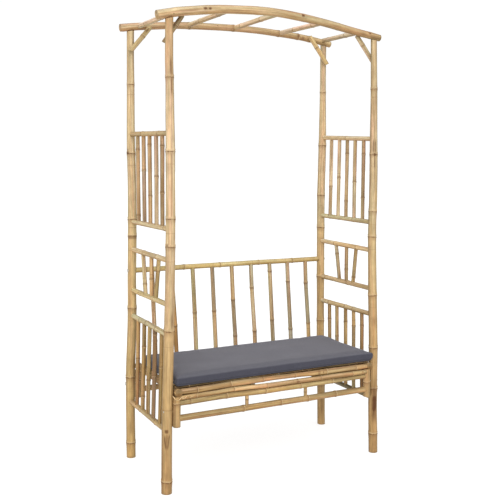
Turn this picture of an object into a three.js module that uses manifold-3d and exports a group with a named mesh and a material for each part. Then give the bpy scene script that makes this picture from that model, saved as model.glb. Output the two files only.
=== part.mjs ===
// Bamboo arbour seat: a two-seat garden bench under an arched roof of poles.
// Millimetres, +Z up, +X to the sitter's left as seen from the front (right in a front view), -Y is the front.
// The origin is on the ground at the middle of the outline.
//
// Every piece is a bamboo pole swept along its own slightly crooked centre line. Where a pole meets
// another one its end is fish-mouthed to it, with a small gap left between the two solids.

import * as THREE from 'three';
import { mergeVertices } from 'three/addons/utils/BufferGeometryUtils.js';
import Module from 'manifold-3d';

// ---------------------------------------------------------------- driving dimensions
const GAP = 0.35;              // gap left between pieces that touch
const FRONT_Y = -221.3;        // centre plane of the front posts
const BACK_Y = 230.1;          // centre plane of the back posts

// centre lines of the four posts: [height, x, radius]
const POSTS = {
  post_front_left: [FRONT_Y, [[0, -512.4, 22.5], [120, -513.5, 22.3], [300, -513.1, 22.1], [469, -510.5, 21.8], [700, -506.8, 21.2], [870, -504.5, 20.7], [995, -503.7, 20.5], [1119, -504.4, 20.3], [1243, -505.5, 20], [1367, -506.5, 19.5], [1460, -507.7, 19.1], [1553, -510.4, 18.7], [1677, -512.7, 17.7], [1801, -516.5, 17.3], [1975, -517.1, 17.1]]],
  post_front_right: [FRONT_Y, [[0, 536.5, 21.1], [93, 535.1, 21], [235, 531.8, 20.9], [377, 532.8, 20.9], [460, 533.8, 20.9], [590, 531.2, 20.9], [732, 526.6, 20.8], [874, 524.1, 20.2], [1000, 522.5, 19.8], [1087, 522.6, 19.8], [1180, 525.7, 19.7], [1300, 527.5, 19.7], [1371, 527.9, 19], [1512, 526.7, 17.8], [1654, 526.8, 16.2], [1796, 525.2, 15.2], [1954, 523.3, 14.7]]],
  post_back_left: [BACK_Y, [[0, -505, 20.7], [115, -507.6, 20.7], [254, -510.5, 20.8], [392, -511.3, 21], [531, -507.4, 21.1], [640, -505.1, 20.7], [739, -506.1, 19.8], [825, -507.9, 19.8], [947, -507.6, 19.9], [1085, -508.2, 20], [1224, -510.3, 19.7], [1330, -513.4, 19.5], [1432, -517.3, 19], [1570, -519.4, 18.3], [1709, -520.8, 17.3], [1847, -523.2, 16.7], [1977, -524.3, 16.9]]],
  post_back_right: [BACK_Y, [[0, 538, 20.1], [92, 536.4, 20.1], [170, 535.8, 20.1], [293, 532.7, 20.1], [484, 528.4, 19.6], [641, 527.7, 19.4], [797, 526.9, 20.1], [954, 526.2, 20.1], [1110, 525.9, 20.2], [1200, 526.6, 20.2], [1345, 530, 20.1], [1460, 532.2, 19.6], [1502, 532.9, 19], [1580, 532.8, 18], [1737, 533.2, 15.8], [1850, 533.2, 15.6], [1979, 534.1, 15.5]]],
};

// the two arched roof beams: [x, z, radius]
const BEAMS = {
  roof_beam_front: [FRONT_Y, [[-573, 1970.6, 19.3], [-530, 1980.4, 19.7], [-469.4, 1993.1, 20], [-409.9, 2001.9, 20], [-355.1, 2009.7, 19.8], [-267.2, 2019.9, 19.3], [-186.1, 2025.3, 19], [-115.8, 2029.2, 18.9], [-49.3, 2030.2, 18.8], [0.5, 2028.7, 18.6], [117.7, 2019.5, 18.4], [199.8, 2010.7, 18], [281.9, 1999.9, 17.6], [365.9, 1986.2, 17.2], [453.8, 1972.6, 16.9], [512.4, 1964.7, 16.6], [556, 1958.1, 16.4]]],
  roof_beam_back: [BACK_Y, [[-574, 1977.5, 17.9], [-526.1, 1985.3, 17.9], [-404, 1999.9, 17.6], [-277, 2012.6, 17], [-146.1, 2018.5, 16.8], [-11.2, 2021.9, 16.6], [67.9, 2022.4, 16.6], [127.5, 2021.9, 16.6], [236.9, 2017.5, 16.6], [349.3, 2009.7, 16.3], [441.1, 2001.9, 16.2], [517.3, 1991.1, 16.2], [574, 1981.4, 16]]],
};

// rafters between the beams: [x back, z back, x front, z front, radius]
const RAFTERS = [
  [-486.1, 1991, -490, 1989.2, 11.4],
  [-235, 2015.6, -236.9, 2021.4, 11.6],
  [13.2, 2024.3, 11.2, 2028.3, 11.8],
  [271.1, 2018.5, 235.9, 2004.8, 11.6],
  [526.1, 1998, 440, 1977, 11.4],
];

// diagonal braces on the inner faces of the posts: [beam, post, y, x low, z low, x high, z high, radius]
const BRACES = {
  brace_front_left: [FRONT_Y + 30, -526.5, 1864.5, -446, 1982, 10.6],
  brace_front_right: [FRONT_Y + 28.5, 531, 1858, 446, 1964, 10.6],
  brace_back_left: [BACK_Y - 29.5, -534.5, 1869.5, -438, 1987.5, 11.2],
  brace_back_right: [BACK_Y - 28.6, 538, 1873.5, 432.5, 2009, 11.2],
};

// normals of the slanting cuts at their low ends
const BRACE_CUTS = { brace_front_left: [0.4, 0, 1], brace_front_right: [1, 0, 0], brace_back_left: [0, 0, 1], brace_back_right: [0.55, 0, -1] };

// side frames: height of each rung at the back post and at the front post, and the slats' places
const RUNG_R = 11.3;
const SLAT_R = 9.2;
const RUNGS = {
  left: [[1491.1, 1486.4], [1087.7, 1089.1], [960.4, 957], [773, 774.1], [654.8, 650.3], [259.7, 256.2]],
  right: [[1493.5, 1480], [1089.1, 1085.6], [957.5, 952.8], [773, 771.1], [648.6, 649.5], [254, 256.4]],
};
// y of each slat at its top and at its foot
const PANELS = {
  left: {
    upper: [[145, 144.4], [74, 72.6], [3.4, 2.7], [-69.9, -68.8], [-135.9, -135.1]],
    fan: [[89.2, 53.1], [-10.2, -17.2], [-96.7, -68.7]],
    lower: [[145, 141.8], [69, 67], [0, 0.8], [-65.6, -63.7], [-140, -143]],
  },
  right: {
    upper: [[142, 141.4], [68, 69.3], [-1, -1.3], [-69.7, -70.8], [-140.8, -141.6]],
    fan: [[85.9, 53.3], [-8.8, -5.8], [-91.2, -61.4]],
    lower: [[145.2, 143.5], [78, 76.8], [2.4, 1.6], [-65.6, -66.4], [-133.5, -134.5]],
  },
};

// backrest
const BACKREST_RAIL_Z = 861.8;
const BACKREST_RAIL_R = 12.2;
const BACKREST_FOOT_Y = 178.3;   // the slats lean: their feet stand this far forward
const BACKREST_FOOT_Z = 414;
const BACKREST_FOOT_R = 11.5;
const BACKREST_SLAT_R = 10.3;
// x of each slat at the top rail and at its foot
const BACKREST_SLAT_X = [[-408.6, -406.6], [-309.8, -300.6], [-202.6, -200.1], [-99.2, -96.7], [6.8, 9.3], [114, 116.5], [219.6, 219.6], [324, 321.5], [431.8, 426.8]];

// seat frame
const SIDE_RAIL_L = { x: [-472, -469.8], z: 414, r: 16.4 };
const SIDE_RAIL_R = { x: [494.3, 491.5], z: 415.8, r: 14.8 };
const SIDE_RAIL_Y = [-249.6, 246];
const STUB_R = 16.1;
const STUBS = {
  seat_stub_front_left: [-475.3, -235, 271.6, 'seat_side_rail_left'],
  seat_stub_front_right: [485.8, -235, 268.7, 'seat_side_rail_right'],
  seat_stub_back_left: [-470.3, 235.9, 271, 'seat_side_rail_left'],
  seat_stub_back_right: [491, 235.9, 270, 'seat_side_rail_right'],
};
const FRONT_RAILS = {
  // y, the pieces that its ends butt against, [x, z, radius] along it
  seat_front_rail_top: [-235, 'seat_side_rail_left', 'seat_side_rail_right', [[-474, 415.2, 12], [-371, 415.2, 12.6], [-301, 416.2, 12.7], [-230, 418.3, 12.2], [-158, 418.3, 12.3], [-94, 419, 11.4], [-24, 419.5, 10.6], [43, 418.3, 10.2], [120, 416.7, 10.2], [189, 415.5, 11.8], [281, 415.5, 12.4], [391, 413.8, 12.2], [485, 412.8, 12.1]]],
  seat_front_rail_middle: [-239.5, 'seat_stub_front_left', 'seat_stub_front_right', [[-474, 390.5, 9], [-371, 392.6, 9.6], [-301, 393.3, 9.6], [-230, 395.9, 9.9], [-158, 395, 10], [-94, 392.8, 9.8], [-24, 391.4, 10.1], [43, 390.8, 10.2], [120, 390.8, 10.2], [189, 390.9, 10.6], [281, 391.5, 11], [391, 389.7, 10.8], [485, 388.8, 10.5]]],
  seat_front_rail_bottom: [-236, 'seat_stub_front_left', 'seat_stub_front_right', [[-474, 369.5, 11.8], [-371, 370.8, 12], [-301, 371.5, 12], [-230, 372.6, 13.1], [-158, 371.3, 13.3], [-94, 369.4, 13.3], [-24, 368.3, 12.8], [43, 368, 12.4], [120, 367.7, 12.6], [189, 367.9, 12], [281, 368.8, 11.6], [391, 368.4, 10.3], [485, 368, 10]]],
};
const STRETCHER_Z = 306.4;
const STRETCHER_R = 13.2;
const SPINDLE_X = [-148, 149];
const SPINDLE_R = 7.8;
const BEARER_R = 12;

// slatted seat deck of split bamboo, on two battens
const DECK_Z = 431;              // underside of the split slats
const DECK_T = 7.5;
const DECK_SLAT_W = 44;
const DECK_SLAT_Y = [-212, -152, -92, -32, 28, 88, 148];
const DECK_X = [-484, 504];
const BATTEN_X = [-160, 180];
const BATTEN_W = 24;
const BATTEN_T = 11;

// loose seat cushion
const CUSHION = { x: [-486.5, 505.5], y: [-252, 168.5], z: [438.9, 483.5], corner: 12, edge: 9 };

// coach bolts: shank radius, head radius, head height
const BOLT_R = 3;
const BOLT_HEAD_R = 6.5;
const BOLT_HEAD_H = 2.6;

// ---------------------------------------------------------------- solids
const wasm = await Module();
wasm.setup();

function lerpTable(table, h) {
  for (let i = 1; i < table.length; i++) {
    if (h <= table[i][0] || i === table.length - 1) {
      const a = table[i - 1];
      const b = table[i];
      const t = (h - a[0]) / (b[0] - a[0]);
      return a.slice(1).map((v, k) => v + (b[k + 1] - v) * t);
    }
  }
  return table[0].slice(1);
}

// A pole along path = [[x, y, z, r], ...] with the given number of sides. grow widens it evenly.
// cutStart and cutEnd are the normals of slanting end cuts.
function pole(path, sides, { grow = 0, cutStart = null, cutEnd = null } = {}) {
  const n = path.length;
  const g = new THREE.CylinderGeometry(1, 1, 1, sides, n - 1);
  g.deleteAttribute('normal');
  g.deleteAttribute('uv');
  const points = path.map((p) => new THREE.Vector3(p[0], p[1], p[2]));
  const frames = points.map((p, i) => {
    const a = points[Math.max(0, i - 1)];
    const b = points[Math.min(n - 1, i + 1)];
    const t = b.clone().sub(a).normalize();
    const ref = Math.abs(t.z) > 0.6 ? new THREE.Vector3(0, 1, 0) : new THREE.Vector3(0, 0, 1);
    const u = ref.clone().cross(t).normalize();
    const v = u.clone().cross(t).normalize();
    return { t, u, v };
  });
  const pos = g.attributes.position;
  const q = new THREE.Vector3();
  for (let k = 0; k < pos.count; k++) {
    const i = Math.round((pos.getY(k) + 0.5) * (n - 1));
    const r = path[i][3] + grow / Math.cos(Math.PI / sides);
    const f = frames[i];
    q.copy(points[i]).addScaledVector(f.u, pos.getX(k) * r).addScaledVector(f.v, pos.getZ(k) * r);
    const normal = i === 0 ? cutStart : i === n - 1 ? cutEnd : null;
    if (normal) {
      const c = new THREE.Vector3(...normal);
      q.addScaledVector(f.t, -q.clone().sub(points[i]).dot(c) / f.t.dot(c));
    }
    pos.setXYZ(k, q.x, q.y, q.z);
  }
  return mergeVertices(g, 1e-4);
}

function toSolid(geometry) {
  const g = geometry.clone();
  for (const name of Object.keys(g.attributes)) if (name !== 'position') g.deleteAttribute(name);
  const merged = mergeVertices(g, 1e-4);
  return new wasm.Manifold(new wasm.Mesh({
    numProp: 3,
    vertProperties: new Float32Array(merged.attributes.position.array),
    triVerts: new Uint32Array(merged.index.array),
  }));
}

function toGeometry(solid) {
  const m = solid.getMesh();
  const g = new THREE.BufferGeometry();
  g.setAttribute('position', new THREE.BufferAttribute(new Float32Array(m.vertProperties), 3));
  g.setIndex(new THREE.BufferAttribute(new Uint32Array(m.triVerts), 1));
  g.computeVertexNormals();
  return g;
}

function build(base, { add = [], cut = [] } = {}) {
  let s = toSolid(base);
  for (const g of add) s = s.add(toSolid(g));
  for (const g of cut) s = s.subtract(toSolid(g));
  return toGeometry(s);
}

// ---------------------------------------------------------------- scene graph
const bamboo = {
  post: new THREE.MeshStandardMaterial({ color: 0xd2ae7c, roughness: 0.5, metalness: 0 }),
  beam: new THREE.MeshStandardMaterial({ color: 0xcca871, roughness: 0.5, metalness: 0 }),
  slat: new THREE.MeshStandardMaterial({ color: 0xc8a56e, roughness: 0.52, metalness: 0 }),
  rung: new THREE.MeshStandardMaterial({ color: 0xdcc394, roughness: 0.5, metalness: 0 }),
};
const fabric = new THREE.MeshStandardMaterial({ color: 0x5c5c66, roughness: 0.92, metalness: 0 });
const steel = new THREE.MeshStandardMaterial({ color: 0xb9b6ae, roughness: 0.4, metalness: 1 });

const arbour = new THREE.Group();
const groups = {};
for (const key of ['posts', 'roof', 'side_left', 'side_right', 'backrest', 'seat', 'fasteners']) {
  groups[key] = new THREE.Group();
  arbour.add(groups[key]);
}
function piece(group, name, geometry, material) {
  const mesh = new THREE.Mesh(geometry, material);
  mesh.name = name;
  groups[group].add(mesh);
  return mesh;
}

const POST_SIDES = 10;
const POLE_SIDES = 8;

const postPath = (name) => POSTS[name][1].map(([z, x, r]) => [x, POSTS[name][0], z, r]);
const beamPath = (name) => BEAMS[name][1].map(([x, z, r]) => [x, BEAMS[name][0], z, r]);
const postX = (name, z) => lerpTable(POSTS[name][1], z)[0];
const postR = (name, z) => lerpTable(POSTS[name][1], z)[1];

const grown = {};   // each cutter is the neighbour itself, widened by the gap
for (const name of Object.keys(POSTS)) grown[name] = pole(postPath(name), POST_SIDES, { grow: GAP, cutStart: [0, 0, 1] });
for (const name of Object.keys(BEAMS)) grown[name] = pole(beamPath(name), POST_SIDES, { grow: GAP });

// bolts, from the outer face of a post inwards
const BOLTS = {
  bolt_backrest_left: ['post_back_left', -1, BACK_Y, BACKREST_RAIL_Z, 62],
  bolt_backrest_right: ['post_back_right', 1, BACK_Y, BACKREST_RAIL_Z, 62],
  bolt_seat_front_left: ['post_front_left', -1, FRONT_Y - 6.5, 340, 62],
  bolt_seat_front_right: ['post_front_right', 1, FRONT_Y - 6.5, 340, 66],
  bolt_seat_back_left: ['post_back_left', -1, BACK_Y + 4, 340, 62],
  bolt_seat_back_right: ['post_back_right', 1, BACK_Y + 4, 340, 62],
};
function boltGeometry(name, grow) {
  const [post, side, y, z, length] = BOLTS[name];
  const face = postX(post, z) + side * (postR(post, z) + 0.2);
  const shank = pole([[face + side * 1, y, z, BOLT_R], [face - side * (length - 4), y, z, BOLT_R], [face - side * length, y, z, 1.6]], 8, { grow });
  const head = pole([[face + side * (grow ? -2 : 0.2), y, z, BOLT_HEAD_R], [face + side * (0.2 + BOLT_HEAD_H * 0.6), y, z, BOLT_HEAD_R], [face + side * (0.2 + BOLT_HEAD_H), y, z, BOLT_HEAD_R * 0.55]], 8, { grow });
  return build(head, { add: [shank] });
}
const boltCut = {};
for (const name of Object.keys(BOLTS)) {
  const [post, side, y, z, length] = BOLTS[name];
  const face = postX(post, z) + side * (postR(post, z) + 6);
  boltCut[name] = pole([[face, y, z, BOLT_R], [face - side * (length + 8), y, z, BOLT_R]], 8, { grow: GAP });
}

// posts, fish-mouthed to the beams
const boltsOf = (post) => Object.keys(BOLTS).filter((b) => BOLTS[b][0] === post).map((b) => boltCut[b]);
for (const name of Object.keys(POSTS)) {
  const beam = POSTS[name][0] < 0 ? 'roof_beam_front' : 'roof_beam_back';
  piece('posts', name, build(pole(postPath(name), POST_SIDES, { cutStart: [0, 0, 1] }), { cut: [grown[beam], ...boltsOf(name)] }), bamboo.post);
}

// roof
for (const name of Object.keys(BEAMS)) piece('roof', name, build(pole(beamPath(name), POST_SIDES)), bamboo.beam);
const rafterPath = ([xb, zb, xf, zf, r]) => [[xb, BACK_Y, zb, r], [(xb + xf) / 2, (BACK_Y + FRONT_Y) / 2, (zb + zf) / 2, r * 1.02], [xf, FRONT_Y, zf, r]];
RAFTERS.forEach((row, i) => {
  grown[`rafter_${i + 1}`] = pole(rafterPath(row), POLE_SIDES, { grow: GAP });
  piece('roof', `rafter_${i + 1}`, build(pole(rafterPath(row), POLE_SIDES), { cut: [grown.roof_beam_front, grown.roof_beam_back] }), bamboo.beam);
});
for (const [name, [y, x0, z0, x1, z1, r]] of Object.entries(BRACES)) {
  const front = name.includes('front');
  const left = name.includes('left');
  const g = pole([[x0, y, z0, r], [x1, y, z1, r]], POLE_SIDES, { cutStart: BRACE_CUTS[name], cutEnd: [0, 0, 1] });
  const near = front
    ? [grown.roof_beam_front, grown[left ? 'post_front_left' : 'post_front_right']]
    : [grown.roof_beam_back, grown[left ? 'post_back_left' : 'post_back_right']];
  piece('roof', name, build(g, { cut: [...near, grown[left ? 'rafter_1' : 'rafter_5']] }), bamboo.beam);
}

// side frames: in each panel the slats are tenoned into the lower rung and stand under the upper one
for (const side of ['left', 'right']) {
  const back = `post_back_${side}`;
  const front = `post_front_${side}`;
  const rungPath = (k) => {
    const [zb, zf] = RUNGS[side][k];
    return [[postX(back, zb), BACK_Y, zb, RUNG_R], [postX(front, zf), FRONT_Y, zf, RUNG_R]];
  };
  const onRung = (k, y) => {
    const [b, f] = rungPath(k);
    const t = (y - BACK_Y) / (FRONT_Y - BACK_Y);
    return [b[0] + (f[0] - b[0]) * t, y, b[2] + (f[2] - b[2]) * t];
  };
  const posts = [grown[back], grown[front]];
  ['upper', 'fan', 'lower'].forEach((panel, p) => {
    const top = 2 * p;
    const low = 2 * p + 1;
    const slats = PANELS[side][panel].map(([yt, yl]) => pole([[...onRung(top, yt), SLAT_R], [...onRung(low, yl), SLAT_R]], POLE_SIDES));
    piece(`side_${side}`, `${side}_${panel}_top_rung`, build(pole(rungPath(top), POLE_SIDES), { cut: posts }), bamboo.rung);
    piece(`side_${side}`, `${side}_${panel}_slats`, build(pole(rungPath(low), POLE_SIDES), { add: slats, cut: [pole(rungPath(top), POLE_SIDES, { grow: GAP }), ...posts] }), bamboo.slat);
  });
}

// seat: side rails, stub posts, front rails, stretchers, spindles
const sideRailPath = (s) => [[s.x[0], SIDE_RAIL_Y[0], s.z, s.r], [s.x[1], SIDE_RAIL_Y[1], s.z, s.r]];
grown.seat_side_rail_left = pole(sideRailPath(SIDE_RAIL_L), POST_SIDES, { grow: GAP });
grown.seat_side_rail_right = pole(sideRailPath(SIDE_RAIL_R), POST_SIDES, { grow: GAP });
piece('seat', 'seat_side_rail_left', build(pole(sideRailPath(SIDE_RAIL_L), POST_SIDES), { cut: [grown.post_front_left, grown.post_back_left] }), bamboo.post);
piece('seat', 'seat_side_rail_right', build(pole(sideRailPath(SIDE_RAIL_R), POST_SIDES), { cut: [grown.post_front_right, grown.post_back_right] }), bamboo.post);

for (const [name, [x, y, z0, rail]] of Object.entries(STUBS)) {
  const railZ = rail.endsWith('left') ? SIDE_RAIL_L.z : SIDE_RAIL_R.z;
  const path = [[x, y, z0, STUB_R], [x, y, z0 + 60, STUB_R], [x, y, railZ - 7, STUB_R]];
  const post = name.replace('seat_stub', 'post');
  grown[name] = pole(path, POLE_SIDES, { grow: GAP });
  piece('seat', name, build(pole(path, POLE_SIDES), { cut: [grown[rail], grown[post], boltCut[name.replace('seat_stub', 'bolt_seat')]] }), bamboo.post);
}
let above = null;
for (const [name, [y, a, b, rows]] of Object.entries(FRONT_RAILS)) {
  const path = rows.map(([x, z, r]) => [x, y, z, r]);
  grown[name] = pole(path, POLE_SIDES, { grow: GAP });
  const cut = [grown[a], grown[b], grown.seat_stub_front_left, grown.seat_stub_front_right];
  if (above) cut.push(grown[above]);
  piece('seat', name, build(pole(path, POLE_SIDES), { cut }), bamboo.beam);
  above = name;
}
const stretcherPath = (y, z) => [[-472, y, z, STRETCHER_R], [0, y, z, STRETCHER_R], [488, y, z, STRETCHER_R]];
grown.front_stretcher = pole(stretcherPath(-235, STRETCHER_Z), POLE_SIDES, { grow: GAP });
piece('seat', 'front_stretcher', build(pole(stretcherPath(-235, STRETCHER_Z), POLE_SIDES), { cut: [grown.seat_stub_front_left, grown.seat_stub_front_right] }), bamboo.beam);
piece('seat', 'back_stretcher', build(pole(stretcherPath(235.9, STRETCHER_Z), POLE_SIDES), { cut: [grown.seat_stub_back_left, grown.seat_stub_back_right] }), bamboo.beam);
SPINDLE_X.forEach((x, i) => {
  piece('seat', `front_spindle_${i + 1}`, build(pole([[x, -235.5, STRETCHER_Z, SPINDLE_R], [x, -235.5, 369.3, SPINDLE_R]], POLE_SIDES), { cut: [grown.front_stretcher, grown.seat_front_rail_bottom] }), bamboo.slat);
});

// backrest
const railPath = [[-507, BACK_Y, BACKREST_RAIL_Z, BACKREST_RAIL_R], [0, BACK_Y, BACKREST_RAIL_Z + 1, BACKREST_RAIL_R], [526, BACK_Y, BACKREST_RAIL_Z, BACKREST_RAIL_R]];
const footPath = [[-471, BACKREST_FOOT_Y, BACKREST_FOOT_Z, BACKREST_FOOT_R], [0, BACKREST_FOOT_Y, BACKREST_FOOT_Z, BACKREST_FOOT_R], [492, BACKREST_FOOT_Y, BACKREST_FOOT_Z, BACKREST_FOOT_R]];
const railGrown = pole(railPath, POLE_SIDES, { grow: GAP });
const footGrown = pole(footPath, POLE_SIDES, { grow: GAP });
piece('backrest', 'backrest_top_rail', build(pole(railPath, POLE_SIDES), { cut: [grown.post_back_left, grown.post_back_right, boltCut.bolt_backrest_left, boltCut.bolt_backrest_right] }), bamboo.rung);
piece('backrest', 'backrest_bottom_rail', build(pole(footPath, POLE_SIDES), { cut: [grown.seat_side_rail_left, grown.seat_side_rail_right] }), bamboo.beam);
BACKREST_SLAT_X.forEach(([x, foot], i) => {
  const g = pole([[foot, BACKREST_FOOT_Y, BACKREST_FOOT_Z, BACKREST_SLAT_R], [x, BACK_Y, BACKREST_RAIL_Z, BACKREST_SLAT_R]], POLE_SIDES);
  piece('backrest', `backrest_slat_${i + 1}`, build(g, { cut: [railGrown, footGrown] }), bamboo.slat);
});

// bearer under the middle of the deck
piece('seat', 'seat_centre_bearer', build(pole([[10, -235, DECK_Z - 0.5 - BEARER_R, BEARER_R], [10, BACKREST_FOOT_Y - 10, DECK_Z - 0.5 - BEARER_R, BEARER_R]], POLE_SIDES), { cut: [grown.seat_front_rail_top, footGrown] }), bamboo.beam);

// deck of split slats: a low D-shaped section, flat side down
const half = DECK_SLAT_W / 2;
const section = new THREE.Shape([
  new THREE.Vector2(-half, 0), new THREE.Vector2(half, 0), new THREE.Vector2(half, DECK_T * 0.35),
  new THREE.Vector2(half * 0.6, DECK_T * 0.85), new THREE.Vector2(0, DECK_T),
  new THREE.Vector2(-half * 0.6, DECK_T * 0.85), new THREE.Vector2(-half, DECK_T * 0.35),
]);
const slatAlongX = (y) => {
  const g = new THREE.ExtrudeGeometry(section, { depth: DECK_X[1] - DECK_X[0], bevelEnabled: false, steps: 1 });
  // section x -> +Y, section y -> +Z, depth -> +X
  g.applyMatrix4(new THREE.Matrix4().set(0, 0, 1, DECK_X[0], 1, 0, 0, y, 0, 1, 0, DECK_Z, 0, 0, 0, 1));
  return g;
};
const battens = BATTEN_X.map((x) => {
  const g = new THREE.BoxGeometry(BATTEN_W, 385, BATTEN_T + 1);
  g.translate(x, -29, DECK_Z - BATTEN_T / 2 + 0.5);
  return g;
});
// a lath on edge under the front slat, in two lengths, one on each side of the bearer
const laths = [[-454.5, -4.5], [24.5, 477]].map(([x0, x1]) => {
  const g = new THREE.BoxGeometry(x1 - x0, 7, 14);
  g.translate((x0 + x1) / 2, -215.5, DECK_Z - 6);
  return g;
});
piece('seat', 'seat_deck', build(slatAlongX(DECK_SLAT_Y[0]), { add: [...battens, ...laths, ...DECK_SLAT_Y.slice(1).map(slatAlongX)] }), bamboo.slat);

// cushion: a flat pad with rounded corners and edges
const outline = new THREE.Shape();
{
  const e = CUSHION.edge;
  const [x0, x1] = [CUSHION.x[0] + e, CUSHION.x[1] - e];
  const [y0, y1] = [CUSHION.y[0] + e, CUSHION.y[1] - e];
  const c = CUSHION.corner - e;
  outline.moveTo(x0 + c, y0);
  outline.lineTo(x1 - c, y0);
  outline.absarc(x1 - c, y0 + c, c, -Math.PI / 2, 0, false);
  outline.lineTo(x1, y1 - c);
  outline.absarc(x1 - c, y1 - c, c, 0, Math.PI / 2, false);
  outline.lineTo(x0 + c, y1);
  outline.absarc(x0 + c, y1 - c, c, Math.PI / 2, Math.PI, false);
  outline.lineTo(x0, y0 + c);
  outline.absarc(x0 + c, y0 + c, c, Math.PI, Math.PI * 1.5, false);
}
const pad = new THREE.ExtrudeGeometry(outline, {
  depth: CUSHION.z[1] - CUSHION.z[0] - 2 * CUSHION.edge, steps: 1, curveSegments: 4,
  bevelEnabled: true, bevelThickness: CUSHION.edge, bevelSize: CUSHION.edge, bevelSegments: 3,
});
pad.translate(0, 0, CUSHION.z[0] + CUSHION.edge);
piece('seat', 'cushion', build(pad), fabric);

// bolts
for (const name of Object.keys(BOLTS)) piece('fasteners', name, boltGeometry(name, 0), steel);

export default arbour;
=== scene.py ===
"""Looks of the bamboo arbour seat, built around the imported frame. Millimetres in the tables, metres in Blender."""

import math
import random
import zlib

import bmesh
import bpy
import numpy as np
from mathutils import Matrix, Vector


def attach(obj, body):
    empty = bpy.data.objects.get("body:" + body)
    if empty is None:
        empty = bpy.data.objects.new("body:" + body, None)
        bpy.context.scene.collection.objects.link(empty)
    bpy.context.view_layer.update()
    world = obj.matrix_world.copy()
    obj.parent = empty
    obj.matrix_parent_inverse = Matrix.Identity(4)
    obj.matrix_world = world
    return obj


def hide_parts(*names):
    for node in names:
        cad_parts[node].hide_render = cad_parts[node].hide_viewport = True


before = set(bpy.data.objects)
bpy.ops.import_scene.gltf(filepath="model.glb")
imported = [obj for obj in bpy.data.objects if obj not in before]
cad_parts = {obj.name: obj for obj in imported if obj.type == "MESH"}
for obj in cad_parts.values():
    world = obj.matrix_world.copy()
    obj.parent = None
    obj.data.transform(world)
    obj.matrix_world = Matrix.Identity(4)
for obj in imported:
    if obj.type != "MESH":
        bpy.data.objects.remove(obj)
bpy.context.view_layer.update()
scene = bpy.context.scene
MM = 0.001

# ---------------------------------------------------------------------------------------------
# driving tables of the frame, the same numbers as the CAD part (mm)
# ---------------------------------------------------------------------------------------------
FRONT_Y = -221.3
BACK_Y = 230.1
POSTS = {
    "post_front_left": (FRONT_Y, [(0, -512.4, 22.5), (120, -513.5, 22.3), (300, -513.1, 22.1), (469, -510.5, 21.8), (700, -506.8, 21.2), (870, -504.5, 20.7), (995, -503.7, 20.5), (1119, -504.4, 20.3), (1243, -505.5, 20), (1367, -506.5, 19.5), (1460, -507.7, 19.1), (1553, -510.4, 18.7), (1677, -512.7, 17.7), (1801, -516.5, 17.3), (1975, -517.1, 17.1)]),
    "post_front_right": (FRONT_Y, [(0, 536.5, 21.1), (93, 535.1, 21), (235, 531.8, 20.9), (377, 532.8, 20.9), (460, 533.8, 20.9), (590, 531.2, 20.9), (732, 526.6, 20.8), (874, 524.1, 20.2), (1000, 522.5, 19.8), (1087, 522.6, 19.8), (1180, 525.7, 19.7), (1300, 527.5, 19.7), (1371, 527.9, 19), (1512, 526.7, 17.8), (1654, 526.8, 16.2), (1796, 525.2, 15.2), (1954, 523.3, 14.7)]),
    "post_back_left": (BACK_Y, [(0, -505, 20.7), (115, -507.6, 20.7), (254, -510.5, 20.8), (392, -511.3, 21), (531, -507.4, 21.1), (640, -505.1, 20.7), (739, -506.1, 19.8), (825, -507.9, 19.8), (947, -507.6, 19.9), (1085, -508.2, 20), (1224, -510.3, 19.7), (1330, -513.4, 19.5), (1432, -517.3, 19), (1570, -519.4, 18.3), (1709, -520.8, 17.3), (1847, -523.2, 16.7), (1977, -524.3, 16.9)]),
    "post_back_right": (BACK_Y, [(0, 538, 20.1), (92, 536.4, 20.1), (170, 535.8, 20.1), (293, 532.7, 20.1), (484, 528.4, 19.6), (641, 527.7, 19.4), (797, 526.9, 20.1), (954, 526.2, 20.1), (1110, 525.9, 20.2), (1200, 526.6, 20.2), (1345, 530, 20.1), (1460, 532.2, 19.6), (1502, 532.9, 19), (1580, 532.8, 18), (1737, 533.2, 15.8), (1850, 533.2, 15.6), (1979, 534.1, 15.5)]),
}
BEAMS = {
    "roof_beam_front": (FRONT_Y, [(-573, 1970.6, 19.3), (-530, 1980.4, 19.7), (-469.4, 1993.1, 20), (-409.9, 2001.9, 20), (-355.1, 2009.7, 19.8), (-267.2, 2019.9, 19.3), (-186.1, 2025.3, 19), (-115.8, 2029.2, 18.9), (-49.3, 2030.2, 18.8), (0.5, 2028.7, 18.6), (117.7, 2019.5, 18.4), (199.8, 2010.7, 18), (281.9, 1999.9, 17.6), (365.9, 1986.2, 17.2), (453.8, 1972.6, 16.9), (512.4, 1964.7, 16.6), (556, 1958.1, 16.4)]),
    "roof_beam_back": (BACK_Y, [(-574, 1977.5, 17.9), (-526.1, 1985.3, 17.9), (-404, 1999.9, 17.6), (-277, 2012.6, 17), (-146.1, 2018.5, 16.8), (-11.2, 2021.9, 16.6), (67.9, 2022.4, 16.6), (127.5, 2021.9, 16.6), (236.9, 2017.5, 16.6), (349.3, 2009.7, 16.3), (441.1, 2001.9, 16.2), (517.3, 1991.1, 16.2), (574, 1981.4, 16)]),
}
RAFTERS = [
    (-486.1, 1991, -490, 1989.2, 11.4),
    (-235, 2015.6, -236.9, 2021.4, 11.6),
    (13.2, 2024.3, 11.2, 2028.3, 11.8),
    (271.1, 2018.5, 235.9, 2004.8, 11.6),
    (526.1, 1998, 440, 1977, 11.4),
]
BRACES = {
    "brace_front_left": (FRONT_Y + 30, -526.5, 1864.5, -446, 1982, 10.6),
    "brace_front_right": (FRONT_Y + 28.5, 531, 1858, 446, 1964, 10.6),
    "brace_back_left": (BACK_Y - 29.5, -534.5, 1869.5, -438, 1987.5, 11.2),
    "brace_back_right": (BACK_Y - 28.6, 538, 1873.5, 432.5, 2009, 11.2),
}
RUNG_R = 11.3
SLAT_R = 9.2
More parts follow.
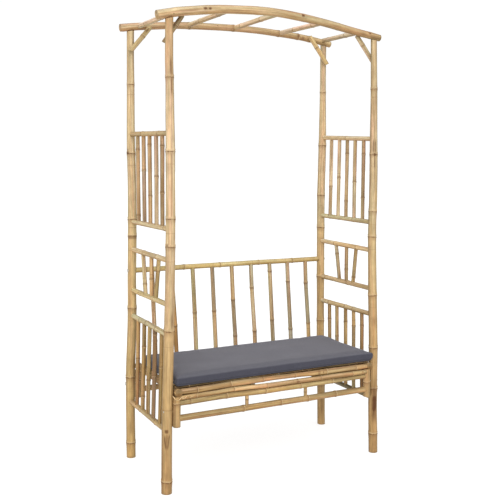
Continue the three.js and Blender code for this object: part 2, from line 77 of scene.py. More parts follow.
RUNGS = {
    "left": [(1491.1, 1486.4), (1087.7, 1089.1), (960.4, 957), (773, 774.1), (654.8, 650.3), (259.7, 256.2)],
    "right": [(1493.5, 1480), (1089.1, 1085.6), (957.5, 952.8), (773, 771.1), (648.6, 649.5), (254, 256.4)],
}
PANELS = {
    "left": {
        "upper": [(145, 144.4), (74, 72.6), (3.4, 2.7), (-69.9, -68.8), (-135.9, -135.1)],
        "fan": [(89.2, 53.1), (-10.2, -17.2), (-96.7, -68.7)],
        "lower": [(145, 141.8), (69, 67), (0, 0.8), (-65.6, -63.7), (-140, -143)],
    },
    "right": {
        "upper": [(142, 141.4), (68, 69.3), (-1, -1.3), (-69.7, -70.8), (-140.8, -141.6)],
        "fan": [(85.9, 53.3), (-8.8, -5.8), (-91.2, -61.4)],
        "lower": [(145.2, 143.5), (78, 76.8), (2.4, 1.6), (-65.6, -66.4), (-133.5, -134.5)],
    },
}
BACK_RAIL_Z, BACK_RAIL_R = 861.8, 12.2
BACK_FOOT = (178.3, 414, 11.5)          # y, z, radius of the bottom rail
BACK_SLAT_R = 10.3
BACK_SLAT_X = [(-408.6, -406.6), (-309.8, -300.6), (-202.6, -200.1), (-99.2, -96.7), (6.8, 9.3), (114, 116.5), (219.6, 219.6), (324, 321.5), (431.8, 426.8)]   # at the rail, at the foot
SIDE_RAILS = {"seat_side_rail_left": (-472, -469.8, 414, 16.4), "seat_side_rail_right": (494.3, 491.5, 415.8, 14.8)}
STUB_R = 16.1
STUBS = {
    "seat_stub_front_left": (-475.3, -235, 271.6, 414),
    "seat_stub_front_right": (485.8, -235, 268.7, 415.8),
    "seat_stub_back_left": (-470.3, 235.9, 271, 414),
    "seat_stub_back_right": (491, 235.9, 270, 415.8),
}
FRONT_RAILS = {  # y, [(x, z, radius)] along it
    "seat_front_rail_top": (-235, [(-460, 415.2, 12), (-371, 415.2, 12.6), (-301, 416.2, 12.7), (-230, 418.3, 12.2), (-158, 418.3, 12.3), (-94, 419, 11.4), (-24, 419.5, 10.6), (43, 418.3, 10.2), (120, 416.7, 10.2), (189, 415.5, 11.8), (281, 415.5, 12.4), (391, 413.8, 12.2), (484, 412.8, 12.1)]),
    "seat_front_rail_middle": (-239.5, [(-467, 390.5, 9), (-371, 392.6, 9.6), (-301, 393.3, 9.6), (-230, 395.9, 9.9), (-158, 395, 10), (-94, 392.8, 9.8), (-24, 391.4, 10.1), (43, 390.8, 10.2), (120, 390.8, 10.2), (189, 390.9, 10.6), (281, 391.5, 11), (391, 389.7, 10.8), (478, 388.8, 10.5)]),
    "seat_front_rail_bottom": (-236, [(-467, 369.5, 11.8), (-371, 370.8, 12), (-301, 371.5, 12), (-230, 372.6, 13.1), (-158, 371.3, 13.3), (-94, 369.4, 13.3), (-24, 368.3, 12.8), (43, 368, 12.4), (120, 367.7, 12.6), (189, 367.9, 12), (281, 368.8, 11.6), (391, 368.4, 10.3), (478, 368, 10)]),
}
STRETCHERS = {"front_stretcher": (-235, -468, 479), "back_stretcher": (235.9, -463, 484)}
STRETCHER_Z, STRETCHER_R = 306.4, 13.2
SPINDLES = [(-148, -235.5), (149, -235.5)]
DECK_Z, DECK_T, DECK_W = 431, 7.5, 44
DECK_Y = [-212, -152, -92, -32, 28, 88, 148]
DECK_X = (-484, 504)
BATTENS = [-160, 180]
CUSHION = {"x": (-486.5, 505.5), "y": (-252, 168.5), "z": (438.9, 483.5), "corner": 6}
BOLTS = {
    "bolt_backrest_left": ("post_back_left", -1, BACK_Y, BACK_RAIL_Z, 62),
    "bolt_backrest_right": ("post_back_right", 1, BACK_Y, BACK_RAIL_Z, 62),
    "bolt_seat_front_left": ("post_front_left", -1, FRONT_Y - 6.5, 340, 62),
    "bolt_seat_front_right": ("post_front_right", 1, FRONT_Y - 6.5, 340, 66),
    "bolt_seat_back_left": ("post_back_left", -1, BACK_Y + 4, 340, 62),
    "bolt_seat_back_right": ("post_back_right", 1, BACK_Y + 4, 340, 62),
}


def seed_of(name):
    return zlib.crc32(name.encode())


def pchip(x, y, q):
    """Monotone cubic through the points (x, y), read at q."""
    x, y, q = np.asarray(x, float), np.asarray(y, float), np.asarray(q, float)
    if len(x) < 3:
        return np.interp(q, x, y)
    h = np.diff(x)
    d = np.diff(y) / h
    m = np.zeros(len(x))
    for i in range(1, len(x) - 1):
        if d[i - 1] * d[i] > 0:
            w1, w2 = 2 * h[i] + h[i - 1], h[i] + 2 * h[i - 1]
            m[i] = (w1 + w2) / (w1 / d[i - 1] + w2 / d[i])
    m[0], m[-1] = d[0], d[-1]
    i = np.clip(np.searchsorted(x, q) - 1, 0, len(x) - 2)
    t = (q - x[i]) / h[i]
    t2, t3 = t * t, t * t * t
    return (2 * t3 - 3 * t2 + 1) * y[i] + (t3 - 2 * t2 + t) * h[i] * m[i] + (3 * t2 - 2 * t3) * y[i + 1] + (t3 - t2) * h[i] * m[i + 1]


def post_x(name, z):
    t = np.array(POSTS[name][1])
    return float(pchip(t[:, 0], t[:, 1], [z])[0])


def post_r(name, z):
    t = np.array(POSTS[name][1])
    return float(pchip(t[:, 0], t[:, 2], [z])[0])


def smoothstep(x, a, b):
    t = np.clip((x - a) / (b - a), 0, 1)
    return t * t * (3 - 2 * t)


def wrap(a):
    return (a + math.pi) % (2 * math.pi) - math.pi


# ---------------------------------------------------------------------------------------------
# mesh code: shells of rings, with the surface attributes that the materials read
# ---------------------------------------------------------------------------------------------
class Shell:
    """Closed bodies collected into one mesh. bp: place on the pole (mm), bn: distance to the nearest ring of the
    culm, bc: tint, partly painted light and shade, be: 1 on cut ends, 2 inside the bore, bs: scars, stain marks and
    painted shade."""

    def __init__(self):
        self.co, self.quads, self.tris, self.quad_flat, self.tri_flat = [], [], [], [], []
        self.bp, self.bn, self.bc, self.be, self.bs = [], [], [], [], []
        self.n = 0

    def rings(self, co, bp, bn, bc, be, bs, flat, first, last):
        """co: (rings, sides, 3). first and last: (centre, bp, be) of the two caps. flat: one flag per gap."""
        m, k = co.shape[:2]
        base = self.n
        self.co += [co.reshape(-1, 3), np.array([first[0], last[0]], float)]
        self.bp += [bp.reshape(-1, 3), np.array([first[1], last[1]], float)]
        self.bn += [bn.reshape(-1), np.array([bn[0].mean(), bn[-1].mean()])]
        self.bc += [bc.reshape(-1, bc.shape[-1]), np.array([bc[0].mean(0), bc[-1].mean(0)])]
        self.be += [be.reshape(-1), np.array([first[2], last[2]], float)]
        self.bs += [bs.reshape(-1), np.array([0.0, 0.0])]
        idx = base + np.arange(m * k).reshape(m, k)
        nxt = np.roll(idx, -1, axis=1)
        q = np.stack([idx[:-1], nxt[:-1], nxt[1:], idx[1:]], -1).reshape(-1, 4)
        self.quads.append(q)
        self.quad_flat.append(np.repeat(np.asarray(flat, bool), k))
        c0, c1 = base + m * k, base + m * k + 1
        t0 = np.stack([np.full(k, c0), nxt[0], idx[0]], -1)
        t1 = np.stack([idx[-1], nxt[-1], np.full(k, c1)], -1)
        self.tris += [t0, t1]
        self.tri_flat += [np.ones(k, bool), np.ones(k, bool)]
        self.n += m * k + 2

    def object(self, name, material, centre=True):
        co = np.concatenate(self.co) * MM
        faces = [tuple(q) for q in np.concatenate(self.quads).tolist()] + [tuple(t) for t in np.concatenate(self.tris).tolist()]
        flat = np.concatenate([np.concatenate(self.quad_flat), np.concatenate(self.tri_flat)])
        mesh = bpy.data.meshes.new(name)
        mesh.from_pydata([tuple(c) for c in co.tolist()], [], faces)
        mesh.polygons.foreach_set("use_smooth", ~flat)
        for key, kind, data in (("bp", "FLOAT_VECTOR", np.concatenate(self.bp)), ("bn", "FLOAT", np.concatenate(self.bn)),
                                ("be", "FLOAT", np.concatenate(self.be)), ("bs", "FLOAT", np.concatenate(self.bs))):
            a = mesh.attributes.new(key, kind, "POINT")
            a.data.foreach_set("vector" if kind == "FLOAT_VECTOR" else "value", data.astype(np.float32).reshape(-1))
        c = np.concatenate(self.bc)
        a = mesh.attributes.new("bc", "FLOAT_COLOR", "POINT")
        # the fourth number is how calm the skin is: 0 streaked, 1 plain
        a.data.foreach_set("color", (c if c.shape[1] == 4 else np.concatenate([c, np.zeros((len(c), 1))], 1)).astype(np.float32).reshape(-1))
        mesh.materials.append(material)
        mesh.update()
        o = bpy.data.objects.new(name, mesh)
        scene.collection.objects.link(o)
        return o


# distances around a ring of the culm, at a pole radius of 20 mm, where the mesh gets extra rings
NEAR = (-26, -17, -11, -7.5, -5, -3.4, -2.2, -1.3, -0.6, 0, 0.6, 1.2, 1.9, 2.7, 3.6, 4.8, 6.3, 8.2, 10.8, 14, 19, 27)


def node_profile(d):
    """Height of the skin around a ring: a thin scar lip, a groove over it and a soft ridge above."""
    return (1.05 * np.exp(-(d / 12.0) ** 2) + 0.95 * np.exp(-(d / 1.3) ** 2) - 0.6 * np.exp(-((d - 2.9) / 1.5) ** 2)
            + 0.95 * np.exp(-((d - 7.4) / 3.6) ** 2) + 0.18 * np.exp(-((d + 3.2) / 1.8) ** 2))


class Pole:
    """One bamboo pole. path: [(x, y, z, r)], nodes: places of its rings along it (mm from the start)."""

    def __init__(self, name, path, nodes=(), sides=24, step=14.0, tint=(1, 1, 1), gradient=None, zigzag=0.0, prom=1.0,
                 start=None, end=None, oval=0.012, groove=0.0, stains_and_painted_shade=(), branches=(), bow=0.0, lip_phase=None, vary=0.035, waist=0.25,
                 painted_light_and_shade=None, weak=(), bands=()):
        rng = random.Random(seed_of(name))
        self.name, self.rng, self.sides = name, rng, sides
        p = np.array([q[:3] for q in path], float)
        r = np.array([q[3] for q in path], float)
        knots = np.concatenate([[0], np.cumsum(np.linalg.norm(np.diff(p, axis=0), axis=1))])
        self.length = L = knots[-1]
        nodes = sorted(n for n in nodes if 4 < n < L - 4)
        self.nodes = nodes
        phi0 = rng.uniform(0, 2 * math.pi) if lip_phase is None else lip_phase
        # the centre line, with a small kink at each ring
        amp = [0.0] + [zigzag * rng.uniform(0.5, 1.2) * (1 if i % 2 else -1) for i in range(len(nodes))] + [0.0]
        kinks = np.array([0.0] + list(nodes) + [L])
        zd = rng.uniform(0, math.pi)
        bd = rng.uniform(0, 2 * math.pi)

        def axis(s):
            s = np.asarray(s, float)
            base = np.stack([pchip(knots, p[:, k], s) for k in range(3)], -1)
            z = sum(np.interp(s + o, kinks, amp) for o in (-6, 0, 6)) / 3
            z = z * np.clip(np.minimum(s, L - s) / 12, 0, 1)
            b = bow * np.sin(math.pi * np.clip(s / L, 0, 1))
            return base, z, b

        def frames(s):
            s = np.asarray(s, float)
            a = np.stack([pchip(knots, p[:, k], np.clip(s - 2, 0, L)) for k in range(3)], -1)
            b = np.stack([pchip(knots, p[:, k], np.clip(s + 2, 0, L)) for k in range(3)], -1)
            t = (b - a) / np.linalg.norm(b - a, axis=-1, keepdims=True)
            ref = np.array([0, 1.0, 0]) if abs(t[len(t) // 2][2]) > 0.6 else np.array([0, 0, 1.0])
            u = np.cross(ref, t)
            u /= np.linalg.norm(u, axis=-1, keepdims=True)
            return t, u, np.cross(t, u)

        self.frames = frames

        def centre(s):
            base, z, b = axis(s)
            t, u, v = frames(s)
            return base + u * (z * math.cos(zd) + b * math.cos(bd))[..., None] + v * (z * math.sin(zd) + b * math.sin(bd))[..., None]

        self.centre = centre
        self.radius = radius = lambda s: pchip(knots, r, np.asarray(s, float))
        scale_at = lambda s: float(np.clip(radius([s])[0] / 20.0, 0.46, 1.1))
        st = set(np.linspace(0, L, max(3, int(round(L / step)) + 1)).tolist())
        info = []
        for i, n in enumerate(nodes):
            k = scale_at(n)
            phi = phi0 + i * math.pi + rng.uniform(-0.25, 0.25)
            info.append(dict(s=n, k=k, phi=phi, prom=prom * rng.uniform(0.8, 1.25) * (0.3 if i in weak else 1.0), tilt=rng.uniform(0.3, 0.9), psi=rng.uniform(0, 2 * math.pi), dip=rng.uniform(0.6, 2.2)))
            st = {q for q in st if abs(q - n) > 26 * k}
            st |= {n + o * k for o in NEAR if 0 < n + o * k < L}
        for q0, q1 in [(q[0], q[1]) for q in stains_and_painted_shade] + [(q[0] - 6, q[0] + 6) for q in branches]:
            w = q1 - q0
            st |= {float(q) for q in np.arange(q0 - 0.4 * w, q1 + 0.4 * w, max(2.0, min(6.0, w / 8))) if 0 < q < L}
        st |= {0.0, L}
        st = np.array(sorted(st))
        keep = [0]
        for i in range(1, len(st)):
            if st[i] - st[keep[-1]] > 0.32 or i == len(st) - 1:
                keep.append(i)
        st = st[keep]
        self.info = info
        th = np.arange(sides) / sides * 2 * math.pi
        self.theta = th
        S, T = np.meshgrid(st, th, indexing="ij")
        R = np.repeat(radius(st)[:, None], sides, 1)
        kk = np.clip(R / 20, 0.46, 1.1)
        # slim waist between rings
        edges = np.array([-0.5 * (nodes[0] if nodes else L)] + list(nodes) + [L + 60.0])
        j = np.clip(np.searchsorted(edges, st) - 1, 0, len(edges) - 2)
        frac = (st - edges[j]) / (edges[j + 1] - edges[j])
        R = R - (waist * kk[:, :1] * np.sin(math.pi * np.clip(frac, 0, 1))[:, None] ** 2)
        R = R * (1 + oval * np.cos(2 * (T - phi0)) + 0.004 * np.cos(3 * T + zd + S * 0.004))
        near = np.full(S.shape, 60.0)
        faint = set(weak)
        for i, f in enumerate(info):
            dphi = wrap(T - f["phi"])
            d = (S - f["s"]) / f["k"] - f["tilt"] * np.cos(T - f["psi"]) + f["dip"] * np.exp(-(dphi / 0.36) ** 2)
            R = R + f["k"] * f["prom"] * node_profile(d)
            if groove:
                nxt = (info[i + 1]["s"] if i + 1 < len(info) else L + 40) - f["s"]
                g = smoothstep(S - f["s"], 4 * f["k"], 14 * f["k"]) * (1 - smoothstep(S - f["s"], 0.45 * nxt, 0.85 * nxt))
                R = R - groove * f["k"] * np.exp(-(dphi / 0.3) ** 2) * g
            if i not in faint:
                near = np.where(np.abs(d) < np.abs(near), d, near)
        near = np.clip(near, -60, 60)
        # tint: each internode has its own shade
        tone = [np.array([1 + rng.gauss(0, vary) + rng.gauss(0, 0.012), 1 + 0.0, 1.0]) for _ in range(len(nodes) + 1)]
        tones = []
        for _ in range(len(nodes) + 1):
            g = rng.gauss(0, vary)
            w = rng.gauss(0, vary * 0.5)
            tones.append(np.array([1 + g + w * 0.6, 1 + g, 1 + g - w]))
        cut = np.array(nodes) if nodes else np.array([1e9])
        seg = np.searchsorted(cut, S[:, 0])
        col = np.array(tones)[np.clip(seg, 0, len(tones) - 1)] * np.array(tint, float)
        if gradient:
            gx = [g[0] for g in gradient]
            gc = np.array([g[1] for g in gradient])
            col = col * np.stack([np.interp(st, gx, gc[:, q]) for q in range(3)], -1)
        calm = np.interp(st, [g[0] for g in gradient], [g[2] if len(g) > 2 else 0.0 for g in gradient]) if gradient else np.zeros(len(st))
        C = np.repeat(np.concatenate([col, calm[:, None]], 1)[:, None, :], sides, 1)
        # stripes along the pole: the culm's own streaks, and where a table gives them painted shade on the pole's edges
        # and painted highlights on its forward face
        for s0, s1, a, hw, shade in bands:
            w = (smoothstep(S, s0 - 12, s0 + 12) * (1 - smoothstep(S, s1 - 12, s1 + 12)) * np.exp(-(wrap(T - a) / hw) ** 2))[..., None]
            C[..., :3] *= 1 + w * (np.array(shade, float) - 1)
        # stain marks and painted shade: (s0, s1, angle, half width in radians, strength, half width at s1, share of the
        # middle)
        B = np.zeros(S.shape)
        for s0, s1, a, hw, amount, *more in stains_and_painted_shade:
            w = hw + ((more[0] if more else hw) - hw) * np.clip((S - s0) / (s1 - s0), 0, 1)
            d = np.abs(wrap(T - a))
            across = np.exp(-(d / w) ** 2)
            if len(more) > 1:
                across = np.maximum(more[1] * np.exp(-(d / w) ** 4), np.exp(-((d - w) / 0.15) ** 2))
            soft = 0.3 if len(more) < 2 else 0.12
            B = np.maximum(B, amount * smoothstep(S, s0 - soft * (s1 - s0), s0 + 0.2 * (s1 - s0)) * (1 - smoothstep(S, s1 - 0.25 * (s1 - s0), s1 + soft * (s1 - s0))) * across)
        t, u, v = frames(st)
        c = centre(st)
        dirs = u[:, None, :] * np.cos(T)[..., None] + v[:, None, :] * np.sin(T)[..., None]
        if painted_light_and_shade:
            # painted light and shade by the height of the skin's normal: undersides darker and browner, the upper side
            # paler or darker as the table gives: (height of the skin's normal, tint)
            wz = [q[0] for q in painted_light_and_shade]
            C[..., :3] *= np.stack([np.interp(dirs[..., 2], wz, [q[1][k] for q in painted_light_and_shade]) for k in range(3)], -1)
        co = c[:, None, :] + dirs * R[..., None]
        self.offset = rng.uniform(0, 4000)
        self.shift = np.array([rng.uniform(-900, 900), rng.uniform(-900, 900)])
        bp = np.stack([np.cos(T) * R + self.shift[0], np.sin(T) * R + self.shift[1], S + self.offset], -1)
        # slanting end cuts
        for which, spec in (("start", start), ("end", end)):
            spec = spec or {}
            if spec.get("normal") is not None:
                i = 0 if which == "start" else -1
                nrm = np.array(spec["normal"], float)
                nrm /= np.linalg.norm(nrm)
                q = co[i] - c[i]
                delta = -(q @ nrm) / float(t[i] @ nrm)
                w = 2 * np.abs(delta).max() + 6
                dist = st if which == "start" else L - st
                k = np.clip(1 - dist / w, 0, 1)
                move = k[:, None] * delta[None, :]
                co = co + move[..., None] * t[i][None, None, :]
                bp[..., 2] += move
            if spec.get("saddle") is not None:
                # the rim follows the given height, over the last stretch of the pole
                i = 0 if which == "start" else -1
                delta = (spec["saddle"](co[i][:, 0], co[i][:, 1]) - co[i][:, 2]) / t[i][2]
                w = 2 * np.abs(delta).max() + 10
                dist = st if which == "start" else L - st
                k = np.clip(1 - dist / w, 0, 1)
                move = k[:, None] * delta[None, :]
                co = co + move[..., None] * t[i][None, None, :]
                bp[..., 2] += move
                c = np.array(c)
                c[i] = co[i].mean(0)
        self.col0, self.col1 = C[0].mean(0), C[-1].mean(0)
        ends = []
        for which, spec in (("start", start), ("end", end)):
            spec = spec or {}
            i = 0 if which == "start" else -1
            sgn = -1.0 if which == "start" else 1.0
            mid = c[i]
            q = co[i]
            rr = float(R[i].mean())
            k = float(np.clip(rr / 20, 0.4, 1.1))
            kind = spec.get("kind", "hidden")
            rows = []
            if kind == "hidden":
                rows.append((mid + (q - mid) * 0.5, 0.5, 1.0))
                tip = (mid, 1.0)
            else:
                b = 0.8 * k
                f = (rr - b) / rr
                # the last skin ring steps back to make the bevel
                co[i] = q - sgn * t[i] * b * 0.8
                rows.append((mid + (q - mid) * f, f, 1.0))
                wall = spec.get("wall", 0.42)
                if kind == "open":
                    inner = 1 - wall
                    depth = spec.get("depth", 34.0)
                    plug = mid - sgn * t[i] * depth
                    ring = dirs[i] * rr * inner
                    rows.append((mid + (q - mid) * (inner + 0.02), inner, 1.0))
                    rows.append((mid + (q - mid) * inner - sgn * t[i] * 0.8, inner, 1.4))
                    rows.append((plug + ring, inner, 2.0))
                    rows.append((plug + ring * 0.5 + sgn * t[i] * 1.5, inner * 0.5, 2.0))
                    tip = (plug + sgn * t[i] * 2.2, 2.0)
                else:
                    # cut close to a ring, where the culm is solid: a rim and a slightly sunken middle
                    for f2, sink, e in ((0.80, 0.0, 1.0), (0.74, 0.5, 1.42), (0.66, 0.5, 1.0), (0.48, 0.6, 1.05), (0.40, 0.9, 1.45), (0.30, 0.9, 1.0), (0.14, 1.1, 1.15)):
                        rows.append((mid + (q - mid) * f2 - sgn * t[i] * sink * k, f2, e))
                    tip = (mid - sgn * t[i] * 1.3 * k, 1.5)
            ends.append((rows, tip, rr))

        def row_bp(f, rr, at):
            return np.stack([np.cos(th) * rr * f + self.shift[0], np.sin(th) * rr * f + self.shift[1], np.full(sides, at + self.offset)], -1)

        r0, tip0, rr0 = ends[0]
        r1, tip1, rr1 = ends[1]
        stack, bps, bns, bcs, bes, bss, flat = [], [], [], [], [], [], []
        for q, f, e in reversed(r0):
            stack.append(q), bps.append(row_bp(f, rr0, 0)), bns.append(np.full(sides, 60.0)), bcs.append(C[0] * (start or {}).get("shade", 1.0)), bes.append(np.full(sides, e)), bss.append(np.zeros(sides))
        stack += list(co)
        bps += list(bp)
        bns += list(near)
        bcs += list(C)
        bes += [np.zeros(sides)] * len(co)
        bss += list(B)
        for q, f, e in r1:
            stack.append(q), bps.append(row_bp(f, rr1, L)), bns.append(np.full(sides, 60.0)), bcs.append(C[-1]), bes.append(np.full(sides, e)), bss.append(np.zeros(sides))
        flat = [True] * len(r0) + [False] * (len(co) - 1) + [True] * len(r1)
        self.shell = Shell()
        self.shell.rings(np.array(stack), np.array(bps), np.array(bns), np.array(bcs), np.array(bes), np.array(bss), flat,
                         (tip0[0], (self.shift[0], self.shift[1], self.offset), tip0[1]), (tip1[0], (self.shift[0], self.shift[1], L + self.offset), tip1[1]))
        for s, a, br, h, dark in branches:
            self.branch(s, a, br, h, dark)

    def surface(self, s, angle):
        t, u, v = self.frames(np.array([s]))
        d = u[0] * math.cos(angle) + v[0] * math.sin(angle)
        return self.centre(np.array([s]))[0], d, t[0], float(self.radius([s])[0])

    def branch(self, s, angle, r, h, dark=0.6, lean=0.35, peg=False):
        """The stump of a cut branch, or a peg: a low round knob on the skin."""
        c, d, t, R = self.surface(s, angle)
        side = np.cross(t, d)
        ax = d if peg else d * math.cos(lean) + t * math.sin(lean)
        ax /= np.linalg.norm(ax)
        x = side
        y = np.cross(ax, x)
        base = c + d * (R - 2.5)
        n = 16
        th = np.arange(n) / n * 2 * math.pi
        prof = [(r * 1.55, -1.0, 0), (r * 1.45, 1.6, 0), (r * 1.12, 2.3 + 0.2 * h, 0), (r, 2.5 + 0.75 * h, 0), (r * 0.86, 2.5 + h, 1), (r * 0.45, 2.5 + h - 0.15, 1), (r * 0.2, 2.5 + h - 0.5, 1.3)]
        if peg:
            prof = [(r, -3.0, 0), (r, 2.4 + 0.7 * h, 0), (r * 0.86, 2.5 + h, 1), (r * 0.5, 2.5 + h, 1), (r * 0.2, 2.5 + h, 1)]
        co, bp, be, bs = [], [], [], []
        for pr, ph, e in prof:
            ring = base + x * (np.cos(th) * pr)[:, None] + y * (np.sin(th) * pr)[:, None] + ax * ph
            co.append(ring)
            bp.append(np.stack([np.cos(th) * pr + self.shift[0], np.sin(th) * pr + self.shift[1], np.full(n, s + ph + self.offset)], -1))
            be.append(np.full(n, float(e)))
            bs.append(np.full(n, dark * (0.8 if e == 0 and not peg else 1.0)))
        m = len(prof)
        col = np.repeat(((self.col0 + self.col1) / 2)[None, None, :], m, 0).repeat(n, 1)
        flat = [False] * (m - 1)
        self.shell.rings(np.array(co), np.array(bp), np.full((m, n), 60.0), col, np.array(be), np.array(bs), flat,
                         (base + ax * prof[0][1], (self.shift[0], self.shift[1], s), 0), (base + ax * (prof[-1][1] - 0.1), (self.shift[0], self.shift[1], s), 1.3))

    def object(self, name, material):
        return self.shell.object(name, material)


# ---------------------------------------------------------------------------------------------
# materials
# ---------------------------------------------------------------------------------------------
def sock(node, name, kind=None):
    for s in node.inputs:
        if s.identifier == name or (s.name == name and s.enabled):
            return s
    raise KeyError(name)


class Tree:
    def __init__(self, name):
        self.mat = bpy.data.materials.new(name)
        self.mat.use_nodes = True
        self.nt = self.mat.node_tree
        self.nt.nodes.clear()
        self.out = self.nt.nodes.new("ShaderNodeOutputMaterial")
        self.bsdf = self.nt.nodes.new("ShaderNodeBsdfPrincipled")
        self.nt.links.new(self.bsdf.outputs[0], self.out.inputs["Surface"])

    def link(self, a, b):
        self.nt.links.new(a, b)

    def attr(self, name, out="Fac"):
        n = self.nt.nodes.new("ShaderNodeAttribute")
        n.attribute_name = name
        return n.outputs[out]

    def scaled(self, vec, sx, sy, sz, off=(0, 0, 0)):
        n = self.nt.nodes.new("ShaderNodeMapping")
        n.vector_type = "POINT"
        n.inputs["Scale"].default_value = (sx, sy, sz)
        n.inputs["Location"].default_value = off
        self.link(vec, n.inputs["Vector"])
        return n.outputs[0]

    def noise(self, vec, detail=2.0, rough=0.5, distort=0.0):
        n = self.nt.nodes.new("ShaderNodeTexNoise")
        n.noise_dimensions = "3D"
        n.inputs["Scale"].default_value = 1.0
        n.inputs["Detail"].default_value = detail
        n.inputs["Roughness"].default_value = rough
        n.inputs["Distortion"].default_value = distort
        self.link(vec, n.inputs["Vector"])
        return n.outputs[0]

    def voronoi(self, vec, feature="F1"):
        n = self.nt.nodes.new("ShaderNodeTexVoronoi")
        n.feature = feature
        n.inputs["Scale"].default_value = 1.0
        self.link(vec, n.inputs["Vector"])
        return n.outputs["Distance"]

    def math(self, op, a, b=None, c=None, clamp=False):
        n = self.nt.nodes.new("ShaderNodeMath")
        n.operation = op
        n.use_clamp = clamp
        for i, v in enumerate((a, b, c)):
            if v is None:
                continue
            if isinstance(v, (int, float)):
                n.inputs[i].default_value = v
            else:
                self.link(v, n.inputs[i])
        return n.outputs[0]

    def ramp(self, v, a, b, lo=0.0, hi=1.0, smooth=True):
        n = self.nt.nodes.new("ShaderNodeMapRange")
        n.interpolation_type = "SMOOTHSTEP" if smooth else "LINEAR"
        n.inputs["From Min"].default_value = a
        n.inputs["From Max"].default_value = b
        n.inputs["To Min"].default_value = lo
        n.inputs["To Max"].default_value = hi
        self.link(v, n.inputs["Value"])
        return n.outputs[0]

    def mix(self, f, a, b, blend="MIX"):
        n = self.nt.nodes.new("ShaderNodeMix")
        n.data_type = "RGBA"
        n.blend_type = blend
        n.clamp_factor = True
        ids = {s.identifier: s for s in n.inputs}
        for key, v in (("Factor_Float", f), ("A_Color", a), ("B_Color", b)):
            s = ids[key]
            if isinstance(v, (int, float)):
                s.default_value = v
            elif isinstance(v, (tuple, list)):
                s.default_value = (*v, 1.0)
            else:
                self.link(v, s)
        return {s.identifier: s for s in n.outputs}["Result_Color"]

    def grey(self, v):
        n = self.nt.nodes.new("ShaderNodeCombineColor")
        for i in range(3):
            self.link(v, n.inputs[i])
        return n.outputs[0]

    def bump(self, height, strength, distance, normal=None):
        n = self.nt.nodes.new("ShaderNodeBump")
        n.inputs["Strength"].default_value = strength
        n.inputs["Distance"].default_value = distance
        self.link(height, n.inputs["Height"])
        if normal is not None:
            self.link(normal, n.inputs["Normal"])
        return n.outputs[0]


LEVEL = (0.97, 0.93, 0.83)


